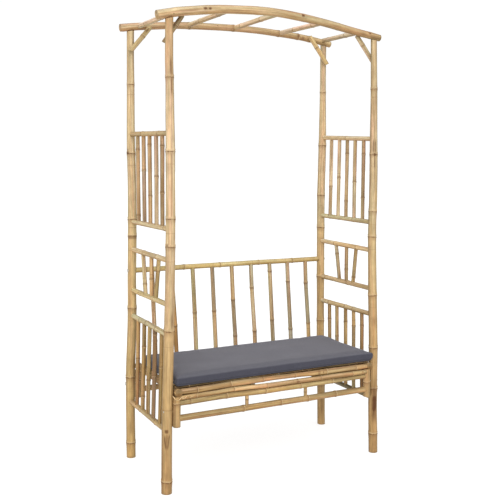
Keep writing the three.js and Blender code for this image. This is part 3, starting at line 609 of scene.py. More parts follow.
def bamboo_material(name, cream, pink, honey, brown, streak=0.30, rough=0.42, spec=0.18, scar=(0.115, 0.045, 0.02), node_dark=(0.13, 0.065, 0.028), node_pale=(0.50, 0.38, 0.24), ring=0.9, green=(0.27, 0.225, 0.125), green_amount=0.5, straw=(0.50, 0.40, 0.25), below=0.34):
    # the colours below are for a softer studio: LEVEL takes them down to this one
    cream, pink, honey, brown, scar, node_dark, node_pale, green, straw = [tuple(q * k for q, k in zip(c, LEVEL)) for c in (cream, pink, honey, brown, scar, node_dark, node_pale, green, straw)]
    t = Tree(name)
    bp = t.attr("bp", "Vector")
    bn = t.attr("bn")
    be = t.attr("be")
    bs = t.attr("bs")
    bc = t.attr("bc", "Color")
    # streaks along the pole, from bands of half an inch down to fibres
    broad = t.noise(t.scaled(bp, 0.07, 0.07, 0.0026), 2.0, 0.5)
    mid = t.noise(t.scaled(bp, 0.15, 0.15, 0.0045, (31, 7, 3)), 2.0, 0.5)
    thin = t.noise(t.scaled(bp, 0.36, 0.36, 0.008, (5, 61, 9)), 2.0, 0.6)
    fibre = t.noise(t.scaled(bp, 1.5, 1.5, 0.02, (17, 3, 71)), 2.0, 0.6)
    blotch = t.noise(t.scaled(bp, 0.05, 0.05, 0.022, (3, 41, 13)), 3.0, 0.55)
    col = t.mix(t.ramp(broad, 0.42, 0.58), cream, pink)
    col = t.mix(t.ramp(mid, 0.44, 0.60), col, honey)
    moss = t.math("MULTIPLY", t.ramp(t.noise(t.scaled(bp, 0.08, 0.08, 0.0035, (13, 57, 29)), 2.0, 0.5), 0.50, 0.64), green_amount)
    col = t.mix(moss, col, green)
    dark = t.math("MULTIPLY", t.ramp(t.noise(t.scaled(bp, 0.12, 0.12, 0.003, (71, 19, 23)), 2.0, 0.55), 0.51, 0.66), streak)
    col = t.mix(dark, col, brown)
    light = t.math("MULTIPLY", t.ramp(t.noise(t.scaled(bp, 0.17, 0.17, 0.004, (47, 83, 5)), 2.0, 0.5), 0.56, 0.68), 0.5)
    col = t.mix(light, col, straw)
    col = t.mix(t.math("MULTIPLY", t.attr("bc", "Alpha"), 0.85), col, tuple(0.55 * a + 0.35 * b + 0.10 * c for a, b, c in zip(cream, honey, pink)))
    shade = t.math("ADD", t.ramp(thin, 0.3, 0.7, 0.80, 1.18, False), t.ramp(fibre, 0.3, 0.7, -0.09, 0.09, False))
    shade = t.math("MULTIPLY", shade, t.ramp(blotch, 0.3, 0.7, 0.86, 1.11, False))
    col = t.mix(1.0, col, t.grey(shade), "MULTIPLY")
    col = t.mix(1.0, col, bc, "MULTIPLY")
    # short dark flecks
    fleck = t.voronoi(t.scaled(bp, 0.19, 0.19, 0.035, (9, 9, 9)))
    fm = t.math("MULTIPLY", t.ramp(fleck, 0.05, 0.14, 1.0, 0.0), 0.42)
    col = t.mix(fm, col, brown)
    # rings: dark line on the scar, pale waxy bands to either side, a browner stretch below
    wob = t.ramp(t.noise(t.scaled(bp, 0.16, 0.16, 0.05, (2, 5, 91)), 2.0, 0.5), 0.3, 0.7, -0.8, 0.8, False)
    d = t.math("ADD", bn, wob)
    a = t.math("ABSOLUTE", d)
    under = t.math("MULTIPLY", t.ramp(d, -26, -3, 0.0, 1.0), t.ramp(d, -3, 0, 1.0, 0.0))
    col = t.mix(t.math("MULTIPLY", under, below), col, brown)
    pale = t.math("MULTIPLY", t.ramp(d, 1.6, 3.2, 0.0, 1.0), t.ramp(d, 5.0, 10.0, 1.0, 0.0))
    pale = t.math("MULTIPLY", pale, t.ramp(t.noise(t.scaled(bp, 0.14, 0.14, 0.09, (8, 8, 44)), 2.0, 0.5), 0.32, 0.62, 0.2, 0.72, False))
    col = t.mix(pale, col, node_pale)
    line = t.math("MULTIPLY", t.ramp(a, 1.3, 3.3, 1.0, 0.0), t.ramp(t.noise(t.scaled(bp, 0.1, 0.1, 0.02, (55, 3, 4)), 2.0, 0.5), 0.36, 0.58, 0.35, ring, False))
    col = t.mix(line, col, node_dark)
    # scars, stain marks and painted shade
    sm = t.math("MULTIPLY", bs, t.ramp(t.noise(t.scaled(bp, 0.3, 0.3, 0.022, (1, 77, 5)), 2.0, 0.6), 0.3, 0.62, 0.55, 1.1, False), clamp=True)
    col = t.mix(sm, col, scar)
    # cut ends: straw with dark fibre bundles, browner inside the bore
    dots = t.voronoi(t.scaled(bp, 0.95, 0.95, 0.0))
    grain = t.mix(t.ramp(dots, 0.10, 0.34, 0.6, 0.0), (0.33, 0.225, 0.11), (0.10, 0.052, 0.022))
    grain = t.mix(1.0, grain, bc, "MULTIPLY")
    grain = t.mix(t.math("MULTIPLY", bs, 0.9, clamp=True), grain, scar)
    bore = t.mix(t.ramp(blotch, 0.35, 0.65), (0.20, 0.13, 0.062), (0.09, 0.05, 0.022))
    endc = t.mix(t.ramp(be, 1.25, 1.6, smooth=False), grain, bore)
    endm = t.ramp(be, 0.45, 0.75)
    col = t.mix(endm, col, endc)
    t.link(col, t.bsdf.inputs["Base Color"])
    ro = t.math("ADD", t.ramp(mid, 0.3, 0.7, rough - 0.05, rough + 0.08, False), t.math("MULTIPLY", t.ramp(a, 3.0, 8.0, 1.0, 0.0), 0.14))
    ro = t.math("ADD", ro, t.math("MULTIPLY", endm, 0.32))
    t.link(ro, t.bsdf.inputs["Roughness"])
    t.bsdf.inputs["Specular IOR Level"].default_value = spec
    t.bsdf.inputs["IOR"].default_value = 1.45
    h = t.math("ADD", t.math("MULTIPLY", fibre, 0.5), t.math("MULTIPLY", thin, 0.8))
    h = t.math("ADD", h, t.math("MULTIPLY", t.ramp(dots, 0.1, 0.4), t.math("MULTIPLY", endm, 0.8)))
    t.link(t.bump(h, 0.42, 0.00035), t.bsdf.inputs["Normal"])
    return t.mat


POST = bamboo_material("bamboo_post", (0.44, 0.335, 0.195), (0.44, 0.275, 0.165), (0.37, 0.25, 0.125), (0.20, 0.11, 0.05), streak=0.60, rough=0.44, scar=(0.085, 0.034, 0.012))
BEAM = bamboo_material("bamboo_beam", (0.42, 0.33, 0.19), (0.43, 0.27, 0.165), (0.37, 0.25, 0.125), (0.20, 0.11, 0.05), streak=0.60, rough=0.46)
SLAT = bamboo_material("bamboo_slat", (0.38, 0.30, 0.17), (0.41, 0.255, 0.155), (0.33, 0.21, 0.10), (0.15, 0.085, 0.04), streak=0.65, rough=0.46, ring=1.0, below=0.55)
RUNG = bamboo_material("bamboo_rung", (0.48, 0.40, 0.25), (0.47, 0.33, 0.205), (0.41, 0.30, 0.155), (0.24, 0.15, 0.07), streak=0.40, rough=0.42, green=(0.30, 0.26, 0.15), green_amount=0.35)
# tints by the height of the skin's normal, painted light and shade: lying canes darker and browner below and a little
# darker on top, beams darker below and on top, rafters darker below and much paler above
LYING_PAINTED_SHADE = [(-1.0, (0.72, 0.60, 0.46)), (-0.65, (0.84, 0.74, 0.62)), (-0.25, (0.97, 0.92, 0.86)), (0.25, (1.02, 1.03, 1.06)), (0.75, (0.98, 1.02, 1.12)), (1.0, (0.84, 0.87, 0.94))]
ROOFING_PAINTED_SHADE = [(-1.0, (0.84, 0.74, 0.60)), (-0.7, (0.92, 0.84, 0.72)), (-0.2, (1.0, 0.98, 0.95)), (0.35, (1.04, 1.06, 1.08)), (0.75, (0.92, 0.93, 0.95)), (0.95, (0.66, 0.65, 0.62)), (1.0, (0.58, 0.57, 0.54))]
RAFTER_PAINTED_LIGHT_AND_SHADE = [(-1.0, (0.70, 0.58, 0.44)), (-0.6, (0.92, 0.84, 0.70)), (-0.3, (1.20, 1.16, 1.14)), (0.1, (1.26, 1.24, 1.32)), (0.6, (1.22, 1.22, 1.36)), (1.0, (1.16, 1.18, 1.32))]



def steel_material():
    t = Tree("bolt_steel")
    tc = t.nt.nodes.new("ShaderNodeTexCoord").outputs["Object"]
    n = t.noise(t.scaled(tc, 900, 2600, 900), 3.0, 0.6)
    big = t.noise(t.scaled(tc, 160, 160, 160), 2.0, 0.5)
    col = t.mix(t.ramp(big, 0.35, 0.65), (0.50, 0.49, 0.47), (0.60, 0.57, 0.52))
    t.link(col, t.bsdf.inputs["Base Color"])
    t.bsdf.inputs["Metallic"].default_value = 1.0
    t.link(t.ramp(n, 0.3, 0.7, 0.34, 0.52, False), t.bsdf.inputs["Roughness"])
    t.link(t.bump(n, 0.15, 0.00005), t.bsdf.inputs["Normal"])
    return t.mat


def fabric_material():
    """Plain woven polyester: the weave is read from the cloth's own coordinates (mm along the two threads)."""
    t = Tree("cushion_fabric")
    uv = t.attr("cloth", "Vector")
    sep = t.nt.nodes.new("ShaderNodeSeparateXYZ")
    t.link(uv, sep.inputs[0])
    k = 2 * math.pi / 1.3
    wx = t.math("SINE", t.math("MULTIPLY", sep.outputs[0], k))
    wy = t.math("SINE", t.math("MULTIPLY", sep.outputs[1], k))
    weave = t.math("MULTIPLY", wx, wy)
    slub_x = t.noise(t.scaled(uv, 0.012, 0.9, 1), 2.0, 0.6)
    slub_y = t.noise(t.scaled(uv, 0.9, 0.012, 1, (40, 40, 0)), 2.0, 0.6)
    cloud = t.noise(t.scaled(uv, 0.011, 0.011, 0.011, (7, 3, 0)), 3.0, 0.5)
    col = t.mix(t.ramp(weave, -0.6, 0.6), (0.066, 0.066, 0.079), (0.111, 0.109, 0.129))
    slub = t.math("ADD", t.ramp(slub_x, 0.3, 0.7, -0.09, 0.09, False), t.ramp(slub_y, 0.3, 0.7, -0.09, 0.09, False))
    tone = t.math("ADD", slub, t.ramp(cloud, 0.3, 0.7, 0.95, 1.05, False))
    col = t.mix(1.0, col, t.grey(tone), "MULTIPLY")
    seam = t.attr("seam")
    col = t.mix(t.math("MULTIPLY", seam, 0.55), col, (0.02, 0.02, 0.024))
    # the sides and front are darker and bluer than the top: painted shade, as if the light fell from above
    col = t.mix(t.attr("side"), col, t.mix(1.0, col, (0.435, 0.435, 0.50), "MULTIPLY"))
    t.link(col, t.bsdf.inputs["Base Color"])
    t.bsdf.inputs["Roughness"].default_value = 0.82
    t.bsdf.inputs["Specular IOR Level"].default_value = 0.30
    t.bsdf.inputs["Sheen Weight"].default_value = 0.20
    t.bsdf.inputs["Sheen Roughness"].default_value = 0.45
    t.bsdf.inputs["Sheen Tint"].default_value = (0.80, 0.80, 0.88, 1)
    h = t.math("ADD", t.math("MULTIPLY", weave, 0.5), t.math("MULTIPLY", t.math("ADD", slub_x, slub_y), 0.8))
    t.link(t.bump(h, 0.35, 0.00025), t.bsdf.inputs["Normal"])
    return t.mat


STEEL = steel_material()
FABRIC = fabric_material()


def thread_material():
    t = Tree("cushion_thread")
    tc = t.nt.nodes.new("ShaderNodeTexCoord").outputs["Object"]
    n = t.noise(t.scaled(tc, 1500, 1500, 1500), 2.0, 0.6)
    t.link(t.mix(t.ramp(n, 0.35, 0.65), (0.050, 0.050, 0.056), (0.095, 0.095, 0.105)), t.bsdf.inputs["Base Color"])
    t.bsdf.inputs["Roughness"].default_value = 0.85
    t.link(t.bump(n, 0.3, 0.0001), t.bsdf.inputs["Normal"])
    return t.mat


THREAD = thread_material()


def place(obj, nodes, body="arbour"):
    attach(obj, body)
    if nodes:
        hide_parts(*([nodes] if isinstance(nodes, str) else nodes))
    return obj


def spaced(name, length, first=None, gap=(190, 250)):
    """Places of the rings along a cane: random, or after the one given."""
    rng = random.Random(seed_of(name) + 7)
    s = first if first is not None else rng.uniform(30, gap[0])
    out = []
    q = s
    while q < length - 6:
        out.append(q)
        q += rng.uniform(*gap)
    q = s - rng.uniform(*gap)
    while q > 6:
        out.append(q)
        q -= rng.uniform(*gap)
    return sorted(out)


FACE_Z = math.radians(-118)      # the side of an upright pole that faces forward and to the left
FACE_R = math.radians(-28)

# ---------------------------------------------------------------------------------------------
# posts
# ---------------------------------------------------------------------------------------------
# tint up each post, (height, tint, calm): darker and more saturated towards the foot, partly the culm's own colour and
# partly painted shade where the light falls off towards the floor and under the seat
POST_TONE_AND_PAINTED_SHADE = {
    "post_front_left": [(0, (0.86, 0.78, 0.65), 0.5), (420, (0.97, 0.92, 0.81), 0.7), (700, (1.13, 1.13, 1.12), 0.6), (900, (1.22, 1.28, 1.39), 0.3), (1300, (1.33, 1.43, 1.66), 0.1), (1700, (1.17, 1.21, 1.40), 0.1), (1890, (1.06, 1.06, 1.16), 0.4), (1975, (1.02, 0.96, 0.95), 0.3)],
    "post_front_right": [(0, (0.73, 0.64, 0.50), 0.6), (200, (0.84, 0.75, 0.61), 0.6), (420, (0.86, 0.79, 0.69), 0.5), (900, (1.06, 1.10, 1.10), 0.4), (1400, (1.10, 1.22, 1.43), 0.2), (1975, (1.03, 1.06, 1.13), 0.3)],
    "post_back_left": [(0, (0.92, 0.86, 0.68), 0.6), (420, (0.95, 0.92, 0.77), 0.6), (900, (1.12, 1.14, 1.08), 0.5), (1300, (1.26, 1.34, 1.39), 0.2), (1975, (1.33, 1.40, 1.53), 0.3)],
    "post_back_right": [(0, (1.00, 0.89, 0.74), 0.6), (400, (0.99, 0.92, 0.77), 0.6), (800, (1.08, 1.08, 1.04), 0.5), (1300, (1.19, 1.26, 1.41), 0.3), (1975, (1.29, 1.40, 1.63), 0.3)],
}
POST_NODES = {
    "post_front_left": [48, 346, 669, 1016, 1132, 1412, 1718],
    "post_front_right": [88, 301, 493, 742, 1018, 1137, 1406, 1715],
    "post_back_left": [68, 369, 689, 1022, 1098, 1401, 1720],
    "post_back_right": [210, 541, 771, 1027, 1193, 1452, 1728],
}
POST_STAINS = {
    "post_front_left": [(187, 249, FACE_Z + 0.08, 0.16, 0.95, 0.55, 0.5), (254, 267, FACE_Z + 0.0, 0.34, 1.1), (684, 740, FACE_Z + 0.66, 0.26, 0.55), (690, 722, FACE_Z + 0.72, 0.14, 0.8), (344, 348, FACE_Z, 3.0, 0.3), (1728, 1792, FACE_Z + 0.5, 0.28, 0.7), (1655, 1712, FACE_Z + 0.55, 0.17, 0.8), (1018, 1030, FACE_Z - 0.55, 0.2, 0.9)],
    "post_front_right": [(168, 314, FACE_Z + 0.22, 0.74, 0.75), (200, 268, FACE_Z + 0.28, 0.60, 1.7), (214, 254, FACE_Z + 0.36, 0.42, 2.2), (1415, 1475, FACE_Z - 0.17, 0.13, 0.95), (1415, 1475, FACE_Z + 0.36, 0.13, 0.95), (1399, 1413, FACE_Z + 0.1, 0.36, 1.1), (1345, 1398, FACE_Z + 0.12, 0.15, 0.85), (600, 640, FACE_Z + 0.1, 0.5, 0.25)],
    "post_back_left": [(1400, 1412, FACE_Z - 0.75, 0.4, 1.1), (1416, 1424, FACE_Z - 0.85, 0.25, 0.9), (120, 190, FACE_Z + 0.3, 0.4, 0.35), (1010, 1024, FACE_Z, 2.0, 0.6), (330, 470, FACE_Z + 0.9, 0.3, 0.55)],
    "post_back_right": [(60, 150, FACE_Z + 0.2, 0.4, 0.35), (800, 830, FACE_Z - 0.2, 0.2, 0.4), (250, 300, FACE_Z, 3.0, 0.5)],
}
# long stripes: (from, to, angle, half width in radians, tint). The darker bands a radian or more to either side of the
# forward face are painted shade on the pole's edges, the pale bands on the forward face are painted highlights, and the
# rest are the culm's own streaks
POST_STREAKS_PAINTED_SHADE_AND_HIGHLIGHTS = {
    "post_front_left": [(1040, 1975, FACE_Z - 1.2, 0.3, (0.76, 0.78, 0.74)), (1040, 1975, FACE_Z + 1.2, 0.3, (0.80, 0.80, 0.76)), (1140, 1712, FACE_Z + 0.45, 0.16, (0.80, 0.70, 0.74)), (1140, 1712, FACE_Z + 0.05, 0.22, (1.10, 1.12, 1.16)), (1140, 1412, FACE_Z - 0.45, 0.16, (0.86, 0.80, 0.84)), (0, 1010, FACE_Z + 1.2, 0.3, (0.90, 0.86, 0.80)), (0, 1010, FACE_Z - 1.0, 0.4, (0.82, 0.79, 0.74)), (0, 400, FACE_Z - 0.95, 0.42, (0.80, 0.78, 0.76)), (1730, 1950, FACE_Z, 0.35, (1.03, 0.98, 1.02))],
    "post_front_right": [(750, 1975, FACE_Z - 1.15, 0.3, (0.74, 0.75, 0.70)), (750, 1975, FACE_Z + 1.1, 0.35, (0.74, 0.76, 0.73)), (1020, 1400, FACE_Z + 0.0, 0.2, (1.08, 1.12, 1.16)), (1020, 1130, FACE_Z - 0.5, 0.2, (0.86, 0.84, 0.76)), (1140, 1400, FACE_Z + 0.5, 0.2, (0.88, 0.84, 0.76)), (0, 740, FACE_Z + 1.2, 0.35, (0.80, 0.77, 0.70)), (0, 740, FACE_Z - 1.2, 0.35, (0.78, 0.74, 0.66)), (500, 740, FACE_Z + 0.1, 0.2, (1.06, 0.98, 0.9))],
    "post_back_left": [(0, 1975, FACE_Z - 1.15, 0.32, (0.76, 0.76, 0.70)), (0, 1975, FACE_Z + 1.15, 0.32, (0.72, 0.73, 0.69)), (1110, 1390, FACE_Z + 0.35, 0.15, (0.82, 0.76, 0.72)), (1110, 1700, FACE_Z - 0.25, 0.2, (1.10, 1.10, 1.12)), (1410, 1700, FACE_Z + 0.3, 0.2, (0.88, 0.84, 0.86))],
    "post_back_right": [(0, 1975, FACE_Z - 1.15, 0.32, (0.80, 0.80, 0.76)), (0, 1975, FACE_Z + 1.1, 0.36, (0.74, 0.76, 0.72)), (560, 1020, FACE_Z - 0.2, 0.2, (1.06, 1.04, 1.0)), (1200, 1700, FACE_Z + 0.1, 0.2, (1.05, 1.0, 1.02))],
}
POST_BRANCHES = {
    "post_front_left": [(1024, FACE_Z + 0.55, 3.4, 1.2, 0.45), (356, FACE_Z + 2.4, 4.0, 1.6, 0.5)],
    "post_front_right": [(1411, FACE_Z + 0.08, 3.6, 1.0, 0.9), (752, FACE_Z + 2.9, 3.8, 1.5, 0.6)],
    "post_back_left": [(1406, FACE_Z - 1.0, 3.4, 1.4, 0.9), (700, FACE_Z + 2.2, 3.6, 1.4, 0.6)],
    "post_back_right": [(778, FACE_Z + 0.2, 3.2, 1.2, 0.45), (1200, FACE_Z + 2.6, 3.4, 1.4, 0.6)],
}


def under_beam(name):
    """Height of a post's rim: cut square just under the beam, with a shallow saddle in the middle."""
    y, table = BEAMS[name]
    t = np.array(table)

    def rim(px, py):
        bz, br = np.interp(px, t[:, 0], t[:, 1]), np.interp(px, t[:, 0], t[:, 2])
        off = np.clip(np.abs(py - y) / br, 0, 1)
        return bz - br * (0.95 + 0.10 * smoothstep(off, 0.2, 0.55))
    return rim


def under_rail(x, z, r):
    def rim(px, py):
        off = np.clip(np.abs(px - x) / r, 0, 1)
        return z - r * (0.93 + 0.05 * smoothstep(off, 0.2, 0.5)) + 0.0 * py
    return rim


for name, (y, table) in POSTS.items():
    path = [(x, y, z, r) for z, x, r in table]
    pole = Pole(name + "_culm", path, POST_NODES[name], sides=56, step=13, gradient=POST_TONE_AND_PAINTED_SHADE[name], bands=POST_STREAKS_PAINTED_SHADE_AND_HIGHLIGHTS[name], zigzag=0.5, weak=(1,) if name == "post_front_left" else (),
                start=dict(kind="open", normal=(0, 0, 1), wall=0.36, depth=40),
                end=dict(kind="solid", saddle=under_beam("roof_beam_front" if y < 0 else "roof_beam_back")),
                groove=0.35, stains_and_painted_shade=POST_STAINS[name], branches=POST_BRANCHES[name], oval=0.014)
    place(pole.object(name + "_culm", POST), name)

# ---------------------------------------------------------------------------------------------
# roof
# ---------------------------------------------------------------------------------------------
BEAM_NODES = {
    "roof_beam_front": [-487, -352, -107, 130, 314, 498],
    "roof_beam_back": [-560, -429, -230, 5, 260, 373, 445],
}


def beam_s(name, x):
    t = np.array(BEAMS[name][1])
    s = np.concatenate([[0], np.cumsum(np.hypot(np.diff(t[:, 0]), np.diff(t[:, 1])))])
    return float(np.interp(x, t[:, 0], s))


FRONTWARD = math.pi           # angle of the face that looks out of the front, on a pole that runs along X
for name, (y, table) in BEAMS.items():
    path = [(x, y, z, r) for x, z, r in table]
    at = lambda x: beam_s(name, x)
    if name == "roof_beam_front":
        stains_and_painted_shade = [(at(-368), at(-353), FRONTWARD - 0.20, 0.30, 1.0), (at(-346), at(-332), FRONTWARD - 0.14, 0.26, 1.0), (at(-352), at(-344), FRONTWARD + 0.08, 0.1, 0.5), (at(482), at(495), FRONTWARD - 0.36, 0.28, 1.0), (at(114), at(127), FRONTWARD - 0.32, 0.30, 1.6), (at(446), at(470), FRONTWARD + 0.2, 0.5, 0.25)]
        branches = [(at(-360), FRONTWARD - 0.20, 4.0, 0.7, 1.0), (at(-339), FRONTWARD - 0.14, 3.6, 0.6, 1.0), (at(120.5), FRONTWARD - 0.32, 3.8, 0.8, 1.0), (at(489), FRONTWARD - 0.36, 3.2, 0.9, 1.0)]
        tint = (1.0, 1.0, 1.0)
        gradient = [(0, (1.30, 1.38, 1.58)), (480, (1.20, 1.26, 1.38)), (760, (1.01, 1.04, 1.10)), (1000, (0.97, 0.93, 0.95)), (1180, (0.91, 0.98, 0.95))]
    else:
        stains_and_painted_shade = [(at(366), at(380), FRONTWARD - 0.2, 0.5, 0.7), (at(394), at(408), FRONTWARD + 0.1, 0.4, 0.55), (at(436), at(449), FRONTWARD - 0.1, 0.5, 0.7)]
        branches = [(at(377), FRONTWARD - 0.4, 3.6, 1.8, 0.8), (at(400), FRONTWARD + 0.35, 3.2, 1.4, 0.7), (at(449), FRONTWARD - 0.7, 3.6, 1.8, 0.8), (at(-85), FRONTWARD - 0.3, 2.4, 0.8, 0.8)]
        tint = (1.0, 1.0, 1.0)
        gradient = [(0, (1.24, 1.24, 1.44)), (250, (1.02, 0.99, 1.05)), (600, (1.10, 1.08, 1.14)), (1180, (1.12, 1.10, 1.12))]
    pole = Pole(name + "_culm", path, [at(x) for x in BEAM_NODES[name]], sides=40, step=13, tint=tint, gradient=gradient, zigzag=0.6,
                start=dict(kind="solid"), end=dict(kind="solid"), painted_light_and_shade=ROOFING_PAINTED_SHADE, weak=(0, 1, 2, 3, 4, 5) if "front" in name else (0, 1),
                groove=0.4, stains_and_painted_shade=stains_and_painted_shade, branches=branches, vary=0.05)
    if name == "roof_beam_front":
        pole.branch(at(-505.5), FRONTWARD + 0.35, 3.1, 0.5, 0.25, peg=True)
    place(pole.object(name + "_culm", BEAM), name)

RAFTER_NODES = [[95, 290], [140, 330], [70, 270], [160, 350], [73, 300]]
# the rafters are tinted much paler than the other canes: partly their own tone and partly painted light
RAFTER_TINT = [(1.44, 1.74, 2.34), (1.26, 1.50, 1.80), (1.44, 1.68, 1.98), (1.42, 1.60, 2.04), (1.20, 1.40, 1.78)]
for i, (xb, zb, xf, zf, r) in enumerate(RAFTERS):
    name = "rafter_%d" % (i + 1)
    path = [(xb, BACK_Y - 8, zb, r), ((xb + xf) / 2, (BACK_Y + FRONT_Y) / 2, (zb + zf) / 2, r * 1.02), (xf, FRONT_Y + 8, zf, r)]
    pole = Pole(name + "_culm", path, RAFTER_NODES[i], sides=26, step=11, tint=RAFTER_TINT[i], zigzag=1.0, painted_light_and_shade=RAFTER_PAINTED_LIGHT_AND_SHADE, groove=0.4, vary=0.05,
                branches=[(RAFTER_NODES[i][0] + 4, 1.7 + i, 2.2, 0.9, 0.8)])
    place(pole.object(name + "_culm", BEAM), name)

BRACE_CUT = {"brace_front_left": (0.4, 0, 1), "brace_front_right": (1, 0, 0), "brace_back_left": (0, 0, 1), "brace_back_right": (0.55, 0, -1)}
BRACE_TINT = {"brace_front_left": (0.82, 0.88, 0.92), "brace_front_right": (1.24, 1.42, 1.64), "brace_back_left": (1.08, 1.20, 1.22), "brace_back_right": (1.28, 1.32, 1.22)}
for name, (y, x0, z0, x1, z1, r) in BRACES.items():
    L = math.hypot(x1 - x0, z1 - z0)
    # angles on a brace: -90 degrees looks forward, 180 degrees up and to the left
    # on the front braces these dark marks are painted shade: the long stripe on the front left brace's upper left side
    # under the beam, and the patch at the foot of the front right brace where it meets the post
    stains_and_painted_shade = {"brace_front_left": [(0, L, -2.75, 0.75, 0.75)], "brace_back_left": [(L - 34, L - 14, -1.9, 0.3, 0.95)], "brace_front_right": [(0, 16, 0.2, 0.8, 0.6)]}.get(name, [])
    branches = [(L - 26, -2.0, 2.8, 0.5, 1.0), (L - 17, -1.9, 2.4, 0.5, 1.0)] if name == "brace_back_left" else []
    pole = Pole(name + "_culm", [(x0, y, z0, r), (x1, y, z1, r)], [L * 0.62], sides=26, step=9, tint=BRACE_TINT[name], zigzag=0.6,
                start=dict(kind="solid", normal=BRACE_CUT[name]), end=dict(kind="hidden"), groove=0.3, stains_and_painted_shade=stains_and_painted_shade, branches=branches)
    place(pole.object(name + "_culm", BEAM), name)

# ---------------------------------------------------------------------------------------------
# side frames
# ---------------------------------------------------------------------------------------------
SLAT_NODES = {   # mm from the top of the slat
    ("left", "upper"): [[70, 368], [162], [48, 273], [184], [52, 250]],
    ("right", "upper"): [[250], [199], [77, 313], [212], [75, 284]],
    ("left", "fan"): [[140], [104], [61]],
    ("right", "fan"): [[52], [118], [150]],
    ("left", "lower"): [[180], [110, 330], [240], [26, 205], [150]],
    ("right", "lower"): [[84, 290], [160], [74, 310], [83, 300], [68, 260]],
}
# tints of each slat and rung: partly the cane's own tone and partly painted light and shade; the lowest right rung, in
# the shade under the seat, is painted darkest
SLAT_TINTS = {
    ("left", "upper"): [(0.96, 0.98, 1.04), (1.10, 1.06, 1.14), (1.00, 0.92, 0.90), (1.16, 1.10, 1.26), (0.86, 0.84, 0.88)],
    ("right", "upper"): [(1.14, 1.14, 1.30), (1.42, 1.54, 1.92), (1.06, 1.06, 1.12), (1.08, 1.16, 1.34), (1.02, 0.98, 1.02)],
    ("left", "fan"): [(1.08, 1.18, 1.28), (1.14, 1.04, 1.04), (1.12, 1.06, 0.90)],
    ("right", "fan"): [(1.12, 1.19, 1.30), (1.06, 1.03, 1.02), (0.98, 0.92, 0.80)],
    ("left", "lower"): [(1.02, 0.82, 0.64), (0.84, 0.82, 0.66), (1.06, 1.02, 0.90), (0.56, 0.49, 0.46), (0.88, 0.84, 0.60)],
    ("right", "lower"): [(0.84, 0.82, 0.80), (1.02, 1.06, 1.10), (0.92, 0.84, 0.68), (1.00, 1.04, 0.98), (0.80, 0.68, 0.56)],
}
RUNG_NODES = {"left": [[150, 330], [398], [155, 315], [110, 290], [120, 198, 318], [140, 330]],
              "right": [[229], [90, 300], [140, 330], [60, 250], [89, 231, 298], [120, 310]]}
RUNG_TINTS = {"left": [(0.98, 0.96, 0.88), (1.02, 1.02, 1.00), (1.20, 1.18, 1.20), (1.12, 1.18, 1.06), (0.96, 1.04, 1.02), (0.86, 0.80, 0.68)],
              "right": [(1.31, 1.33, 1.44), (1.08, 1.20, 1.22), (1.31, 1.25, 1.27), (1.06, 1.04, 1.02), (1.10, 1.08, 1.08), (0.50, 0.52, 0.50)]}
for side in ("left", "right"):
    back, front = "post_back_" + side, "post_front_" + side

    def rung_point(k, y):
        zb, zf = RUNGS[side][k]
        b = np.array([post_x(back, zb), BACK_Y, zb])
        f = np.array([post_x(front, zf), FRONT_Y, zf])
        return b + (f - b) * (y - BACK_Y) / (FRONT_Y - BACK_Y)

    for p, panel in enumerate(("upper", "fan", "lower")):
        for low in (0, 1):
            k = 2 * p + low
            y0, y1 = BACK_Y - 10, FRONT_Y + 10
            a, b = rung_point(k, y0), rung_point(k, y1)
            node = "%s_%s_%s" % (side, panel, "slats" if low else "top_rung")
            nm = "%s_%s_%s_cane" % (side, panel, "low_rung" if low else "top_rung")
            pole = Pole(nm, [(*a, RUNG_R), (*b, RUNG_R)], [q - 10 for q in RUNG_NODES[side][k]], sides=26, step=11, tint=RUNG_TINTS[side][k],
                        zigzag=0.7, groove=0.3, vary=0.06, painted_light_and_shade=LYING_PAINTED_SHADE)
            place(pole.object(nm, RUNG), node)
        for i, (yt, yl) in enumerate(PANELS[side][panel]):
            a, b = rung_point(2 * p, yt), rung_point(2 * p + 1, yl)
            nm = "%s_%s_slat_%d" % (side, panel, i + 1)
            # the two darker stripes either side of the slat's forward face are painted shade on its edges
            pole = Pole(nm, [(*a, SLAT_R), (*b, SLAT_R)], SLAT_NODES[side, panel][i], sides=20, step=12,
                        tint=SLAT_TINTS[side, panel][i], zigzag=0.9, groove=0.35, vary=0.10, prom=1.6,
                        bands=[(-20, 900, math.radians(-62) + 1.2, 0.35, (0.80, 0.78, 0.74)), (-20, 900, math.radians(-62) - 1.2, 0.35, (0.80, 0.78, 0.74))])
            if panel != "fan" or i == 1:
                s = pole.nodes[0]
                pole.branch(s + 4, math.radians(-62) + (0.9 if i % 2 else -0.6), 1.9, 0.7, 0.85)
            place(pole.object(nm, SLAT), None)

# ---------------------------------------------------------------------------------------------
# backrest
# ---------------------------------------------------------------------------------------------
path = [(-507 + 8, BACK_Y, BACK_RAIL_Z, BACK_RAIL_R), (0, BACK_Y, BACK_RAIL_Z + 1, BACK_RAIL_R), (526 - 8, BACK_Y, BACK_RAIL_Z, BACK_RAIL_R)]
pole = Pole("backrest_top_rail_cane", path, [60, 250, 440, 655, 850, 1008], sides=28, step=12, tint=(1.10, 1.12, 0.94), zigzag=0.8, groove=0.3, vary=0.06, painted_light_and_shade=LYING_PAINTED_SHADE)
place(pole.object("backrest_top_rail_cane", RUNG), "backrest_top_rail")
path = [(-459, BACK_FOOT[0], BACK_FOOT[1], BACK_FOOT[2]), (10, BACK_FOOT[0], BACK_FOOT[1], BACK_FOOT[2]), (482, BACK_FOOT[0], BACK_FOOT[1], BACK_FOOT[2])]
pole = Pole("backrest_bottom_rail_cane", path, [110, 320, 530, 760], sides=24, step=14, tint=(0.85, 0.82, 0.75), zigzag=0.6)
place(pole.object("backrest_bottom_rail_cane", BEAM), "backrest_bottom_rail")
BACK_NODES = [[120, 340], [180, 400], [234], [233], [105, 279], [117, 330], [164, 405], [109, 347], [130, 333]]
